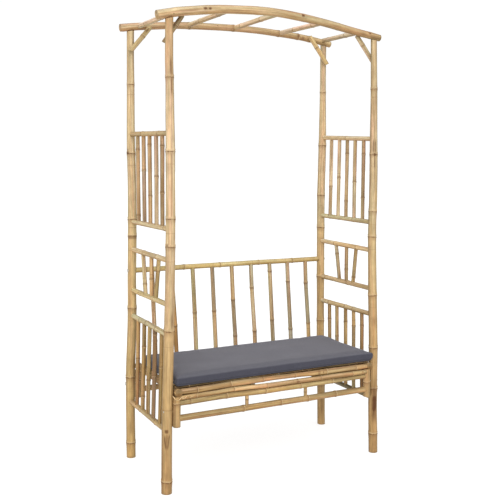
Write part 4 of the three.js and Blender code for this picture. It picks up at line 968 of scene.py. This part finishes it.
BACK_TINTS = [(1.26, 1.28, 1.40), (1.28, 1.12, 0.76), (1.36, 1.60, 1.76), (1.10, 1.16, 1.32), (0.96, 0.98, 1.10), (1.06, 1.14, 1.32), (0.92, 1.06, 1.24), (1.00, 1.18, 1.60), (1.22, 1.26, 1.32)]
for i, (x, foot) in enumerate(BACK_SLAT_X):
    name = "backrest_slat_%d" % (i + 1)
    a, b = (foot, BACK_FOOT[0], BACK_FOOT[1]), (x, BACK_Y, BACK_RAIL_Z)
    # the two darker stripes either side of the slat's forward face are painted shade on its edges
    pole = Pole(name + "_cane", [(*a, BACK_SLAT_R), (*b, BACK_SLAT_R)], BACK_NODES[i], sides=22, step=12, tint=BACK_TINTS[i], zigzag=1.7,
                groove=0.35, vary=0.11, prom=1.5, bands=[(-20, 900, FACE_Z + 1.15, 0.4, (0.74, 0.71, 0.66)), (-20, 900, FACE_Z - 1.2, 0.35, (0.80, 0.77, 0.72))])
    for s in pole.nodes[:2]:
        pole.branch(s + 4, FACE_Z + (1.1 if i % 2 else -0.4), 2.0, 0.8, 0.8)
    place(pole.object(name + "_cane", SLAT), name)

# ---------------------------------------------------------------------------------------------
# seat frame
# ---------------------------------------------------------------------------------------------
for name, (xf, xb, z, r) in SIDE_RAILS.items():
    pole = Pole(name + "_culm", [(xf, -249.6, z, r), (xb, 246, z, r)], [150, 330], sides=36, step=11, tint=(0.92, 0.86, 0.76), zigzag=0.3,
                start=dict(kind="solid", shade=0.72), end=dict(kind="solid"), painted_light_and_shade=LYING_PAINTED_SHADE)
    place(pole.object(name + "_culm", POST), name)
STUB_NODES = {"seat_stub_front_left": [96], "seat_stub_front_right": [70], "seat_stub_back_left": [80], "seat_stub_back_right": [60]}
for name, (x, y, z0, rail) in STUBS.items():
    start = dict(kind="open", wall=0.4, depth=30)
    if name == "seat_stub_front_right":
        start["normal"] = (0.24, 0, 1)
    pole = Pole(name + "_culm", [(x, y, z0, STUB_R), (x, y, rail - 9, STUB_R)], STUB_NODES[name], sides=36, step=9, tint=(0.88, 0.85, 0.76),
                start=start, end=dict(kind="solid", saddle=under_rail(x, rail, 16.4 if name.endswith("left") else 14.8)), groove=0.3, prom=0.8)
    place(pole.object(name + "_culm", POST), name)

RAIL_NODES = {"seat_front_rail_top": [-387, -230, -72, 92, 257, 420], "seat_front_rail_middle": [-391, -215, -52, 104, 226, 400], "seat_front_rail_bottom": [-417, -250, -60, 120, 289]}
RAIL_TINTS = {"seat_front_rail_top": (0.98, 0.92, 0.84), "seat_front_rail_middle": (1.10, 1.05, 0.98), "seat_front_rail_bottom": (0.90, 0.90, 0.78)}
for name, (y, table) in FRONT_RAILS.items():
    x0 = table[0][0]
    pole = Pole(name + "_cane", [(x, y, z, r) for x, z, r in table], [x - x0 for x in RAIL_NODES[name]], sides=28, step=12,
                tint=RAIL_TINTS[name], zigzag=0.4, groove=0.3, vary=0.07, painted_light_and_shade=LYING_PAINTED_SHADE,
                branches=[(239 - x0, FRONTWARD - 0.1, 3.6, 0.7, 0.55), (-66 - x0, FRONTWARD + 0.2, 2.4, 0.8, 0.9)] if name.endswith("top") else
                [(100 - x0, FRONTWARD, 2.6, 0.7, 0.9)] if name.endswith("middle") else [],
                stains_and_painted_shade={"seat_front_rail_top": [(455 - x0, 478 - x0, FRONTWARD + 0.75, 0.45, 1.2), (210 - x0, 222 - x0, FRONTWARD, 1.2, 0.55)],
                        "seat_front_rail_middle": [(96 - x0, 112 - x0, FRONTWARD, 0.4, 0.8)],
                        "seat_front_rail_bottom": [(-300 - x0, -270 - x0, FRONTWARD + 0.3, 0.4, 0.4)]}[name],
                bands={"seat_front_rail_top": [(-380 - x0, -350 - x0, FRONTWARD, 1.0, (1.2, 1.2, 1.15)), (-90 - x0, -30 - x0, FRONTWARD, 0.8, (1.12, 0.98, 0.98))],
                       "seat_front_rail_middle": [(350 - x0, 400 - x0, FRONTWARD, 0.9, (1.08, 0.94, 0.94)), (400 - x0, 450 - x0, FRONTWARD - 0.2, 0.6, (1.15, 1.15, 1.1)), (-230 - x0, -170 - x0, FRONTWARD, 0.8, (1.12, 0.98, 0.98))],
                       "seat_front_rail_bottom": []}[name])
    if name.endswith("middle"):
        pole.branch(455 - x0, FRONTWARD - 0.15, 5.4, 1.4, 0.12, peg=True)
    place(pole.object(name + "_cane", BEAM), name)
for name, (y, x0, x1) in STRETCHERS.items():
    pole = Pole(name + "_cane", [(x0, y, STRETCHER_Z, STRETCHER_R), (0, y, STRETCHER_Z, STRETCHER_R), (x1, y, STRETCHER_Z, STRETCHER_R)],
                [-x0 - 167, -x0 + 20, -x0 + 160, -x0 + 309], sides=28, step=12, tint=(0.83, 0.79, 0.70) if y < 0 else (0.90, 0.87, 0.76), zigzag=0.8, groove=0.3, vary=0.06, painted_light_and_shade=LYING_PAINTED_SHADE)
    place(pole.object(name + "_cane", BEAM), name)
for i, (x, y) in enumerate(SPINDLES):
    name = "front_spindle_%d" % (i + 1)
    pole = Pole(name + "_cane", [(x, y, STRETCHER_Z + 5, 7.8), (x, y, 364, 7.8)], [34 - 6 * i], sides=20, step=6, tint=(0.92, 0.91, 0.90) if i else (1.05, 0.98, 0.90), prom=0.8)
    place(pole.object(name + "_cane", SLAT), name)
pole = Pole("seat_centre_bearer_cane", [(10, -229, 418.5, 12), (10, BACK_FOOT[0] - 10, 418.5, 12)], [90, 270], sides=24, step=12, tint=(0.86, 0.82, 0.74))
place(pole.object("seat_centre_bearer_cane", BEAM), "seat_centre_bearer")


# ---------------------------------------------------------------------------------------------
# deck: split bamboo slats on two battens
# ---------------------------------------------------------------------------------------------
def split_slat(name, start, end, width, thick, nodes, tint, up=(0, 0, 1)):
    """A strip of split bamboo along start to end: convex skin above, hollowed below, with its rings."""
    rng = random.Random(seed_of(name))
    a, b = np.array(start, float), np.array(end, float)
    L = np.linalg.norm(b - a)
    t = (b - a) / L
    up = np.array(up, float)
    w = np.cross(up, t)
    n_top = 11
    xs = np.linspace(1, -1, n_top)
    top = [(x * width / 2, thick * (1 - 0.62 * x * x)) for x in xs]
    bot = [(x * width / 2 * 0.97, 0.12 * thick if abs(x) > 0.8 else 0.3 * thick * (1 - x * x)) for x in np.linspace(-1, 1, 9)]
    prof = np.array(top + bot)
    k = len(prof)
    st = set(np.linspace(0, L, int(L / 16) + 2).tolist()) | {0.8, L - 0.8}
    for q in nodes:
        st |= {q + o * 0.8 for o in NEAR if 1 < q + o * 0.8 < L - 1}
    st = np.array(sorted(st))
    off, sh = rng.uniform(0, 3000), rng.uniform(-600, 600)
    co, bp, bn, be = [], [], [], []
    for s in st:
        d = min(((s - q) / 0.8 for q in nodes), key=abs) if nodes else 60.0
        h = sum(0.8 * float(node_profile((s - q) / 0.8)) for q in nodes)
        inset = 0.5 if s in (0.0, L) else 0.0
        wob = 0.6 * math.sin(s * 0.013 + off) + 0.35 * math.sin(s * 0.031 + sh)
        row = []
        for j, (px, pz) in enumerate(prof):
            z = pz + (h * 0.8 if j < n_top else h * 0.3) * (1 if j < n_top else -1)
            row.append(a + t * s + w * (px * (1 - inset * 0.05) + wob) + up * max(0.05, z - (inset if j < n_top else -inset * 0.4)))
        co.append(row)
        bp.append([(px * 0.6 + sh, pz, s + off) for px, pz in prof])
        bn.append([max(-60, min(60, d))] * k)
        be.append([1.0 if s in (0.0, L) else 0.0 if j < n_top else 0.8 for j in range(k)])
    co, bp, bn, be = np.array(co), np.array(bp), np.array(bn), np.array(be)
    m = len(st)
    shell = Shell()
    col = np.repeat(np.array(tint, float)[None, None, :], m, 0).repeat(k, 1)
    flat = [True] + [False] * (m - 3) + [True]
    shell.rings(co, bp, bn, col, be, np.zeros((m, k)), flat, (co[0].mean(0), bp[0].mean(0), 1.0), (co[-1].mean(0), bp[-1].mean(0), 1.0))
    return shell


# dark canes in the joints behind the front rails: painted shade, standing in for the shade between the rails
for i, (x0, x1, y, z, r) in enumerate(((-458, -105, -226.5, 398.0, 5.5), (188, 480, -226.5, 397.0, 5.5), (-458, 470, -227.5, 378.5, 5.5), (-492, -452, -224.5, 401.5, 7.0), (474, 514, -224.5, 402.0, 7.0), (-492, -448, -224.0, 425.5, 5.0), (474, 514, -224.5, 384.5, 6.0))):
    pole = Pole("packing_cane_%d" % (i + 1), [(x0, y, z, r), (x1, y, z, r)], [90, 250], sides=12, step=16, tint=(0.30, 0.24, 0.17), start=dict(kind="solid"), end=dict(kind="solid"))
    place(pole.object("packing_cane_%d" % (i + 1), SLAT), None)
# dark strips in the corners between the posts and the stubs: painted shade, standing in for the shade there
for i, (x, y) in enumerate(((-489.5, -226.0), (507.5, -226.0))):
    pole = Pole("packing_strip_%d" % (i + 1), [(x, y, 274, 6.0), (x, y, 425, 6.0)], [60], sides=14, step=12, tint=(0.30, 0.24, 0.18), start=dict(kind="solid"), end=dict(kind="solid"))
    place(pole.object("packing_strip_%d" % (i + 1), SLAT), None)
# pale splinters where the middle rail was cut off ragged: the splinters are shaped, and their pale tint is partly the
# torn fibres' own colour and partly painted highlight
frayed = [(-501.5, 407), (-488.9, 390.3), (-475.5, 385.2), (-462.2, 395), (-448.7, 389), (-437.5, 398.3), (-423.9, 391.1), (-403.6, 396.3)]
for i, ((x0, z0), (x1, z1)) in enumerate(zip(frayed, frayed[1:])):
    pole = Pole("splinter_%d" % (i + 1), [(x0, -252.2, z0, 1.0), ((x0 + x1) / 2, -253.0, (z0 + z1) / 2 + 0.8, 1.5), (x1, -252.2, z1, 0.8)], [], sides=8, step=3, tint=(1.6, 1.65, 1.7))
    place(pole.object("splinter_%d" % (i + 1), SLAT), None)

for i, y in enumerate(DECK_Y):
    nm = "deck_slat_%d" % (i + 1)
    rng = random.Random(seed_of(nm))
    # the front slat is half as bright: painted shade under the cushion's front edge
    g = rng.uniform(0.82, 1.0) * (0.5 if i == 0 else 1.0)
    shell = split_slat(nm, (DECK_X[0], y, DECK_Z), (DECK_X[1], y, DECK_Z), DECK_W, DECK_T, spaced(nm, DECK_X[1] - DECK_X[0], gap=(210, 300)), (g, g * 0.97, g * 0.9))
    o = shell.object(nm, SLAT)
    place(o, "seat_deck")
# dark laths behind the top front rail, under the deck: painted shade filling the gap there
for i, (x0, x1) in enumerate(((-454.5, -4.5), (24.5, 477))):
    nm = "deck_lath_%d" % (i + 1)
    shell = split_slat(nm, (x0, -212, 425), (x1, -212, 425), 14, 7, [150, 370], (0.34, 0.28, 0.21), up=(0, -1, 0))
    place(shell.object(nm, SLAT), None)
for i, x in enumerate(BATTENS):
    nm = "deck_batten_%d" % (i + 1)
    shell = split_slat(nm, (x, -221.5, DECK_Z + 1.6), (x, 163.5, DECK_Z + 1.6), 24, 12.4, [120, 330], (0.85, 0.8, 0.72), up=(0, 0, -1))
    o = shell.object(nm, SLAT)
    place(o, None)


# ---------------------------------------------------------------------------------------------
# bolts
# ---------------------------------------------------------------------------------------------
def lathe(name, prof, origin, axis, material, n=28, hexa=None):
    """prof: [(radius, height)] turned about axis. hexa: index of the rows that are six-sided."""
    ax = Vector(axis).normalized()
    ref = Vector((0, 0, 1))
    x = ref.cross(ax).normalized()
    y = ax.cross(x)
    bm = bmesh.new()
    rows = []
    o = Vector(origin)
    for i, (r, h) in enumerate(prof):
        row = []
        for j in range(n):
            a = 2 * math.pi * j / n
            rr = r
            if hexa and i in hexa:
                q = (a % (math.pi / 3)) - math.pi / 6
                rr = r * math.cos(math.pi / 6) / math.cos(q)
            row.append(bm.verts.new((o + x * (rr * math.cos(a)) + y * (rr * math.sin(a)) + ax * h) * MM))
        rows.append(row)
    for i in range(len(rows) - 1):
        for j in range(n):
            bm.faces.new((rows[i][j], rows[i][(j + 1) % n], rows[i + 1][(j + 1) % n], rows[i + 1][j]))
    bm.faces.new(list(reversed(rows[0])))
    bm.faces.new(rows[-1])
    mesh = bpy.data.meshes.new(name)
    bm.normal_update()
    bm.to_mesh(mesh)
    bm.free()
    mesh.materials.append(material)
    for p in mesh.polygons:
        p.use_smooth = len(p.vertices) == 4
    mesh.set_sharp_from_angle(angle=math.radians(35))
    ob = bpy.data.objects.new(name, mesh)
    scene.collection.objects.link(ob)
    return ob


for name, (post, side, y, z, length) in BOLTS.items():
    face = post_x(post, z) + side * (post_r(post, z) + (-2.0 if name.startswith("bolt_seat_front") else 0.2))
    prof = [(1.6, -length), (3.0, -length + 4)]
    s = -length + 6
    while s < -length + 20:
        prof += [(3.0, s), (2.55, s + 0.6), (3.0, s + 1.2)]
        s += 1.25
    if name.startswith("bolt_seat_front"):
        prof += [(3.0, -4.0), (5.6, -1.6), (5.8, -0.4), (5.4, 0.0), (3.0, 0.3), (0.6, 0.35)]
    else:
        prof += [(3.0, -0.5), (6.9, -0.3), (7.4, 0.1), (7.4, 0.9), (7.0, 1.2), (6.2, 1.25), (6.2, 1.5), (5.9, 2.4), (4.4, 3.3), (2.2, 3.75), (0.6, 3.85)]
    o = lathe(name + "_turned", prof, (face, y, z), (side, 0, 0), STEEL)
    place(o, name)


# ---------------------------------------------------------------------------------------------
# cushion
# ---------------------------------------------------------------------------------------------
def rounded_slab(x0, x1, y0, y1, z0, z1, corner, edge):
    """A closed pad: plan with rounded corners, rounded top and bottom edges, evenly divided."""
    bm = bmesh.new()
    n = 8
    outline = []
    for cx, cy, a0 in ((x1 - corner, y0 + corner, -math.pi / 2), (x1 - corner, y1 - corner, 0), (x0 + corner, y1 - corner, math.pi / 2), (x0 + corner, y0 + corner, math.pi)):
        for i in range(n + 1):
            a = a0 + math.pi / 2 * i / n
            outline.append((cx + corner * math.cos(a), cy + corner * math.sin(a), math.cos(a), math.sin(a)))
    rows = []
    steps = 6
    low = 5.0
    prof = [(-low + low * math.sin(math.pi / 2 * i / steps), z0 + low - low * math.cos(math.pi / 2 * i / steps)) for i in range(steps + 1)]
    prof += [(0.0, (z0 + z1) / 2)]
    prof += [(-edge + edge * math.cos(math.pi / 2 * i / steps), z1 - edge + edge * math.sin(math.pi / 2 * i / steps)) for i in range(steps + 1)]
    for off, z in prof:
        rows.append([bm.verts.new(((x + nx * off) * MM, (y + ny * off) * MM, z * MM)) for x, y, nx, ny in outline])
    m = len(outline)
    for i in range(len(rows) - 1):
        for j in range(m):
            bm.faces.new((rows[i][j], rows[i][(j + 1) % m], rows[i + 1][(j + 1) % m], rows[i + 1][j]))
    bm.faces.new(list(reversed(rows[0])))
    bm.faces.new(rows[-1])
    mesh = bpy.data.meshes.new("pad")
    bm.to_mesh(mesh)
    bm.free()
    return mesh


def remeshed(mesh, name, size):
    o = bpy.data.objects.new(name, mesh)
    scene.collection.objects.link(o)
    m = o.modifiers.new("remesh", "REMESH")
    m.mode = "VOXEL"
    m.voxel_size = size
    deps = bpy.context.evaluated_depsgraph_get()
    done = bpy.data.meshes.new_from_object(o.evaluated_get(deps))
    bpy.data.objects.remove(o)
    return done


def baked(o):
    deps = bpy.context.evaluated_depsgraph_get()
    deps.update()
    done = bpy.data.meshes.new_from_object(o.evaluated_get(deps))
    o.modifiers.clear()
    o.data = done


def make_cushion():
    (x0, x1), (y0, y1), (z0, z1) = CUSHION["x"], CUSHION["y"], CUSHION["z"]
    inset = 3.0
    start = rounded_slab(x0 + inset, x1 - inset, y0 + inset, y1 - inset, z0 + 0.2, z1 - 3.4, CUSHION["corner"], 11)
    mesh = remeshed(start, "pad_remesh", 0.006)
    o = bpy.data.objects.new("seat_cushion", mesh)
    scene.collection.objects.link(o)
    n = len(mesh.vertices)
    rest = np.zeros(n * 3, np.float32)
    mesh.vertices.foreach_get("co", rest)
    rest = rest.reshape(-1, 3).copy()
    c = o.modifiers.new("cloth", "CLOTH")
    c.settings.quality = 4
    c.settings.mass = 0.25
    c.settings.tension_stiffness = 26
    c.settings.compression_stiffness = 26
    c.settings.shear_stiffness = 10
    c.settings.bending_stiffness = 2.5
    c.settings.use_pressure = True
    c.settings.uniform_pressure_force = 4.0
    c.settings.effector_weights.gravity = 0.0
    c.collision_settings.use_collision = False
    for f in range(1, 21):
        scene.frame_set(f)
    baked(o)
    scene.frame_set(1)
    mesh = o.data
    co = np.zeros(len(mesh.vertices) * 3, np.float32)
    mesh.vertices.foreach_get("co", co)
    co = co.reshape(-1, 3)
    if len(co) == len(rest):
        d = co - rest
        length = np.linalg.norm(d, axis=1, keepdims=True)
        cap = 0.0055
        d = d * (cap * np.tanh(length / cap) / np.maximum(length, 1e-9))
        co = rest + d
    co = co.astype(float) / MM
    # it rests on the deck: flat below, and a low crown above
    u = (co[:, 0] - x0) / (x1 - x0) * 2 - 1
    v = (co[:, 1] - y0) / (y1 - y0) * 2 - 1
    top = smoothstep(co[:, 2], (z0 + z1) / 2, z1 - 4)
    crown = (1 - np.clip(np.abs(u), 0, 1) ** 6) * (1 - np.clip(np.abs(v), 0, 1) ** 4)
    rng = np.random.default_rng(5)
    ripple = np.zeros(len(co))
    for _ in range(16):
        kx, ky, ph = rng.normal(0, 0.016), rng.normal(0, 0.03), rng.uniform(0, 6.28)
        ripple += np.sin(co[:, 0] * kx + co[:, 1] * ky + ph)
    ripple *= 0.16
    # soft pulls that run in from the corners
    pull = np.zeros(len(co))
    for cx, cy, sx, sy in ((x0, y0, 1, 1), (x1, y0, -1, 1), (x0, y1, 1, -1), (x1, y1, -1, -1)):
        dx, dy = (co[:, 0] - cx) * sx, (co[:, 1] - cy) * sy
        r = np.hypot(dx, dy)
        a = np.arctan2(dy, dx)
        pull += np.sin(a * 9 + cx * 0.1 + r * 0.02) * np.exp(-(r - 55) ** 2 / 3200.0) * 0.55
    co[:, 2] += top * (crown * 1.6 + ripple + pull)
    # the front roll sags a little between its ends
    frontness = smoothstep(-co[:, 1], 205, 245)
    co[:, 2] -= top * frontness * 2.2
    co[:, 2] = np.maximum(co[:, 2], z0)
    co[:, 1] = np.maximum(co[:, 1], y0 - 3)
    mesh.vertices.foreach_set("co", (co * MM).astype(np.float32).reshape(-1))
    mesh.update()
    sub = o.modifiers.new("sub", "SUBSURF")
    sub.levels = sub.render_levels = 1
    baked(o)
    mesh = o.data
    co = np.zeros(len(mesh.vertices) * 3, np.float32)
    mesh.vertices.foreach_get("co", co)
    co = co.reshape(-1, 3).astype(float) / MM
    lo, hi = co.min(0), co.max(0)
    # seams: a band runs round the sides; only its seam to the lower panel is drawn
    seam = np.zeros(len(co))
    dist_side = np.minimum.reduce([co[:, 0] - lo[0], hi[0] - co[:, 0], co[:, 1] - lo[1], hi[1] - co[:, 1]])
    near = smoothstep(-dist_side, -14, -7)
    for zs in (z0 + 8.5,):
        g = np.exp(-((co[:, 2] - zs) / 1.5) ** 2) * near
        seam = np.maximum(seam, g)
    nrm = np.zeros(len(co) * 3, np.float32)
    mesh.vertices.foreach_get("normal", nrm)
    nrm = nrm.reshape(-1, 3)
    co -= nrm * (seam * 0.9)[:, None]
    mesh.vertices.foreach_set("co", (co * MM).astype(np.float32).reshape(-1))
    # thread coordinates: the cloth unrolled from the top over the sides
    px, py = np.clip(co[:, 0], x0 + 14, x1 - 14), np.clip(co[:, 1], y0 + 14, y1 - 14)
    drop = (z1 - co[:, 2])
    cloth = np.stack([co[:, 0] + np.sign(co[:, 0] - px) * drop * (np.abs(co[:, 0] - px) > 1), co[:, 1] + np.sign(co[:, 1] - py) * drop * (np.abs(co[:, 1] - py) > 1), np.zeros(len(co))], -1)
    a = mesh.attributes.new("cloth", "FLOAT_VECTOR", "POINT")
    a.data.foreach_set("vector", cloth.astype(np.float32).reshape(-1))
    a = mesh.attributes.new("seam", "FLOAT", "POINT")
    a.data.foreach_set("value", seam.astype(np.float32))
    # side: how much of the painted shade a face gets, more as it turns away from the top
    a = mesh.attributes.new("side", "FLOAT", "POINT")
    a.data.foreach_set("value", (1 - smoothstep(nrm[:, 2], 0.25, 0.85)).astype(np.float32))
    # the front right corner is squeezed out past the post
    hx, ly = co[:, 0].max(), co[:, 1].min()
    round_off = 1 - np.clip(np.abs(co[:, 2] - 463) / 24, 0, 1) ** 2.2
    out = smoothstep(co[:, 0], hx - 34, hx - 2) * smoothstep(-co[:, 1], 226, min(244, -ly - 5))
    co[:, 0] += out * (x1 + 12 - hx) * (0.2 + 0.8 * round_off)
    out = smoothstep(co[:, 0], x1 - 40, x1 + 6) * smoothstep(-co[:, 1], 236, -ly - 1)
    co[:, 1] -= out * 1.5
    # and bears on the post
    px, clear = post_x("post_front_right", 462), post_r("post_front_right", 462) + 0.8
    dx, dy = co[:, 0] - px, co[:, 1] - FRONT_Y
    grow = np.maximum(clear / np.maximum(np.hypot(dx, dy), 1e-6), 1)
    co[:, 0], co[:, 1] = px + dx * grow, FRONT_Y + dy * grow
    mesh.vertices.foreach_set("co", (co * MM).astype(np.float32).reshape(-1))
    for p in mesh.polygons:
        p.use_smooth = True
    mesh.materials.clear()
    mesh.materials.append(FABRIC)
    mesh.update()
    return o


cushion = make_cushion()
place(cushion, "cushion", "cushion")

# ---------------------------------------------------------------------------------------------
# floor, light, camera
# ---------------------------------------------------------------------------------------------
floor_mesh = bpy.data.meshes.new("floor")
floor_mesh.from_pydata([(-60, -60, 0), (60, -60, 0), (60, 60, 0), (-60, 60, 0)], [], [(0, 1, 2, 3)])
floor = bpy.data.objects.new("floor", floor_mesh)
scene.collection.objects.link(floor)
ft = Tree("studio_floor")
fc = ft.nt.nodes.new("ShaderNodeTexCoord").outputs["Object"]
fn = ft.noise(ft.scaled(fc, 3, 3, 3), 3.0, 0.5)
ft.link(ft.mix(ft.ramp(fn, 0.3, 0.7), (0.298, 0.298, 0.298), (0.302, 0.302, 0.302)), ft.bsdf.inputs["Base Color"])
ft.bsdf.inputs["Roughness"].default_value = 0.95
ft.bsdf.inputs["Specular IOR Level"].default_value = 0.1
# a light table: the floor glows a little, so the shadows stay pale
ft.bsdf.inputs["Emission Color"].default_value = (1, 1, 1, 1)
ft.bsdf.inputs["Emission Strength"].default_value = 0.80
floor_mesh.materials.append(ft.mat)
floor.location = (0, 0, -0.0004)

SOFT_BOX, SIDE_FLAG = 1.25, 0.55
world = bpy.data.worlds.new("studio")
scene.world = world
world.use_nodes = True
wn = world.node_tree
bg = wn.nodes["Background"]
# a studio: a wide soft box in front of the seat, a white ground behind it, dark flags at the sides
YAW = 0.488197
wg = wn.nodes.new("ShaderNodeTexCoord")


def along(direction):
    n = wn.nodes.new("ShaderNodeVectorMath")
    n.operation = "DOT_PRODUCT"
    n.inputs[1].default_value = direction
    wn.links.new(wg.outputs["Generated"], n.inputs[0])
    return n.outputs["Value"]


def slope(value, a, b, lo, hi):
    n = wn.nodes.new("ShaderNodeMapRange")
    n.interpolation_type = "SMOOTHSTEP"
    for key, v in (("From Min", a), ("From Max", b), ("To Min", lo), ("To Max", hi)):
        n.inputs[key].default_value = v
    wn.links.new(value, n.inputs["Value"])
    return n.outputs[0]


def bigger(a, b):
    n = wn.nodes.new("ShaderNodeMath")
    n.operation = "MAXIMUM"
    wn.links.new(a, n.inputs[0])
    wn.links.new(b, n.inputs[1])
    return n.outputs[0]


backdrop = along((math.sin(YAW), math.cos(YAW), 0.0))
box = slope(backdrop, -0.35, 0.25, SOFT_BOX, SIDE_FLAG)
wn.links.new(bigger(box, slope(backdrop, 0.80, 0.92, 0.0, 1.03)), bg.inputs["Strength"])
bg.inputs["Color"].default_value = (1.0, 1.0, 1.0, 1)


def sun(name, direction, strength, angle, color=(1, 1, 1)):
    light = bpy.data.lights.new(name, "SUN")
    light.energy = strength
    light.angle = math.radians(angle)
    light.color = color
    o = bpy.data.objects.new(name, light)
    o.rotation_euler = Vector(direction).to_track_quat("-Z", "Y").to_euler()
    scene.collection.objects.link(o)
    return o


key_dir = Vector((0.42, 0.70, -0.62))
sun("key", key_dir, 1.8, 45)

cam_data = bpy.data.cameras.new("camera")
cam = bpy.data.objects.new("camera", cam_data)
scene.collection.objects.link(cam)
roll = 0.0076142
fw = Vector((math.sin(YAW), math.cos(YAW), 0))
rt = Vector((math.cos(YAW), -math.sin(YAW), 0))
up = Vector((0, 0, 1))
rt2 = rt * math.cos(roll) + up * math.sin(roll)
up2 = -rt * math.sin(roll) + up * math.cos(roll)
cam.matrix_world = Matrix.Translation((-1.7955, -3.3489, 1.3954)) @ Matrix((rt2, up2, -fw)).transposed().to_4x4()
cam_data.sensor_fit = "HORIZONTAL"
cam_data.sensor_width = 36
cam_data.lens = 58.649
cam_data.shift_x = 0.0
cam_data.shift_y = -0.18838
cam_data.clip_end = 200
scene.camera = cam
scene.view_settings.view_transform = "Standard"
scene.view_settings.look = "None"
scene.view_settings.exposure = 0.0
scene.view_settings.gamma = 1.0
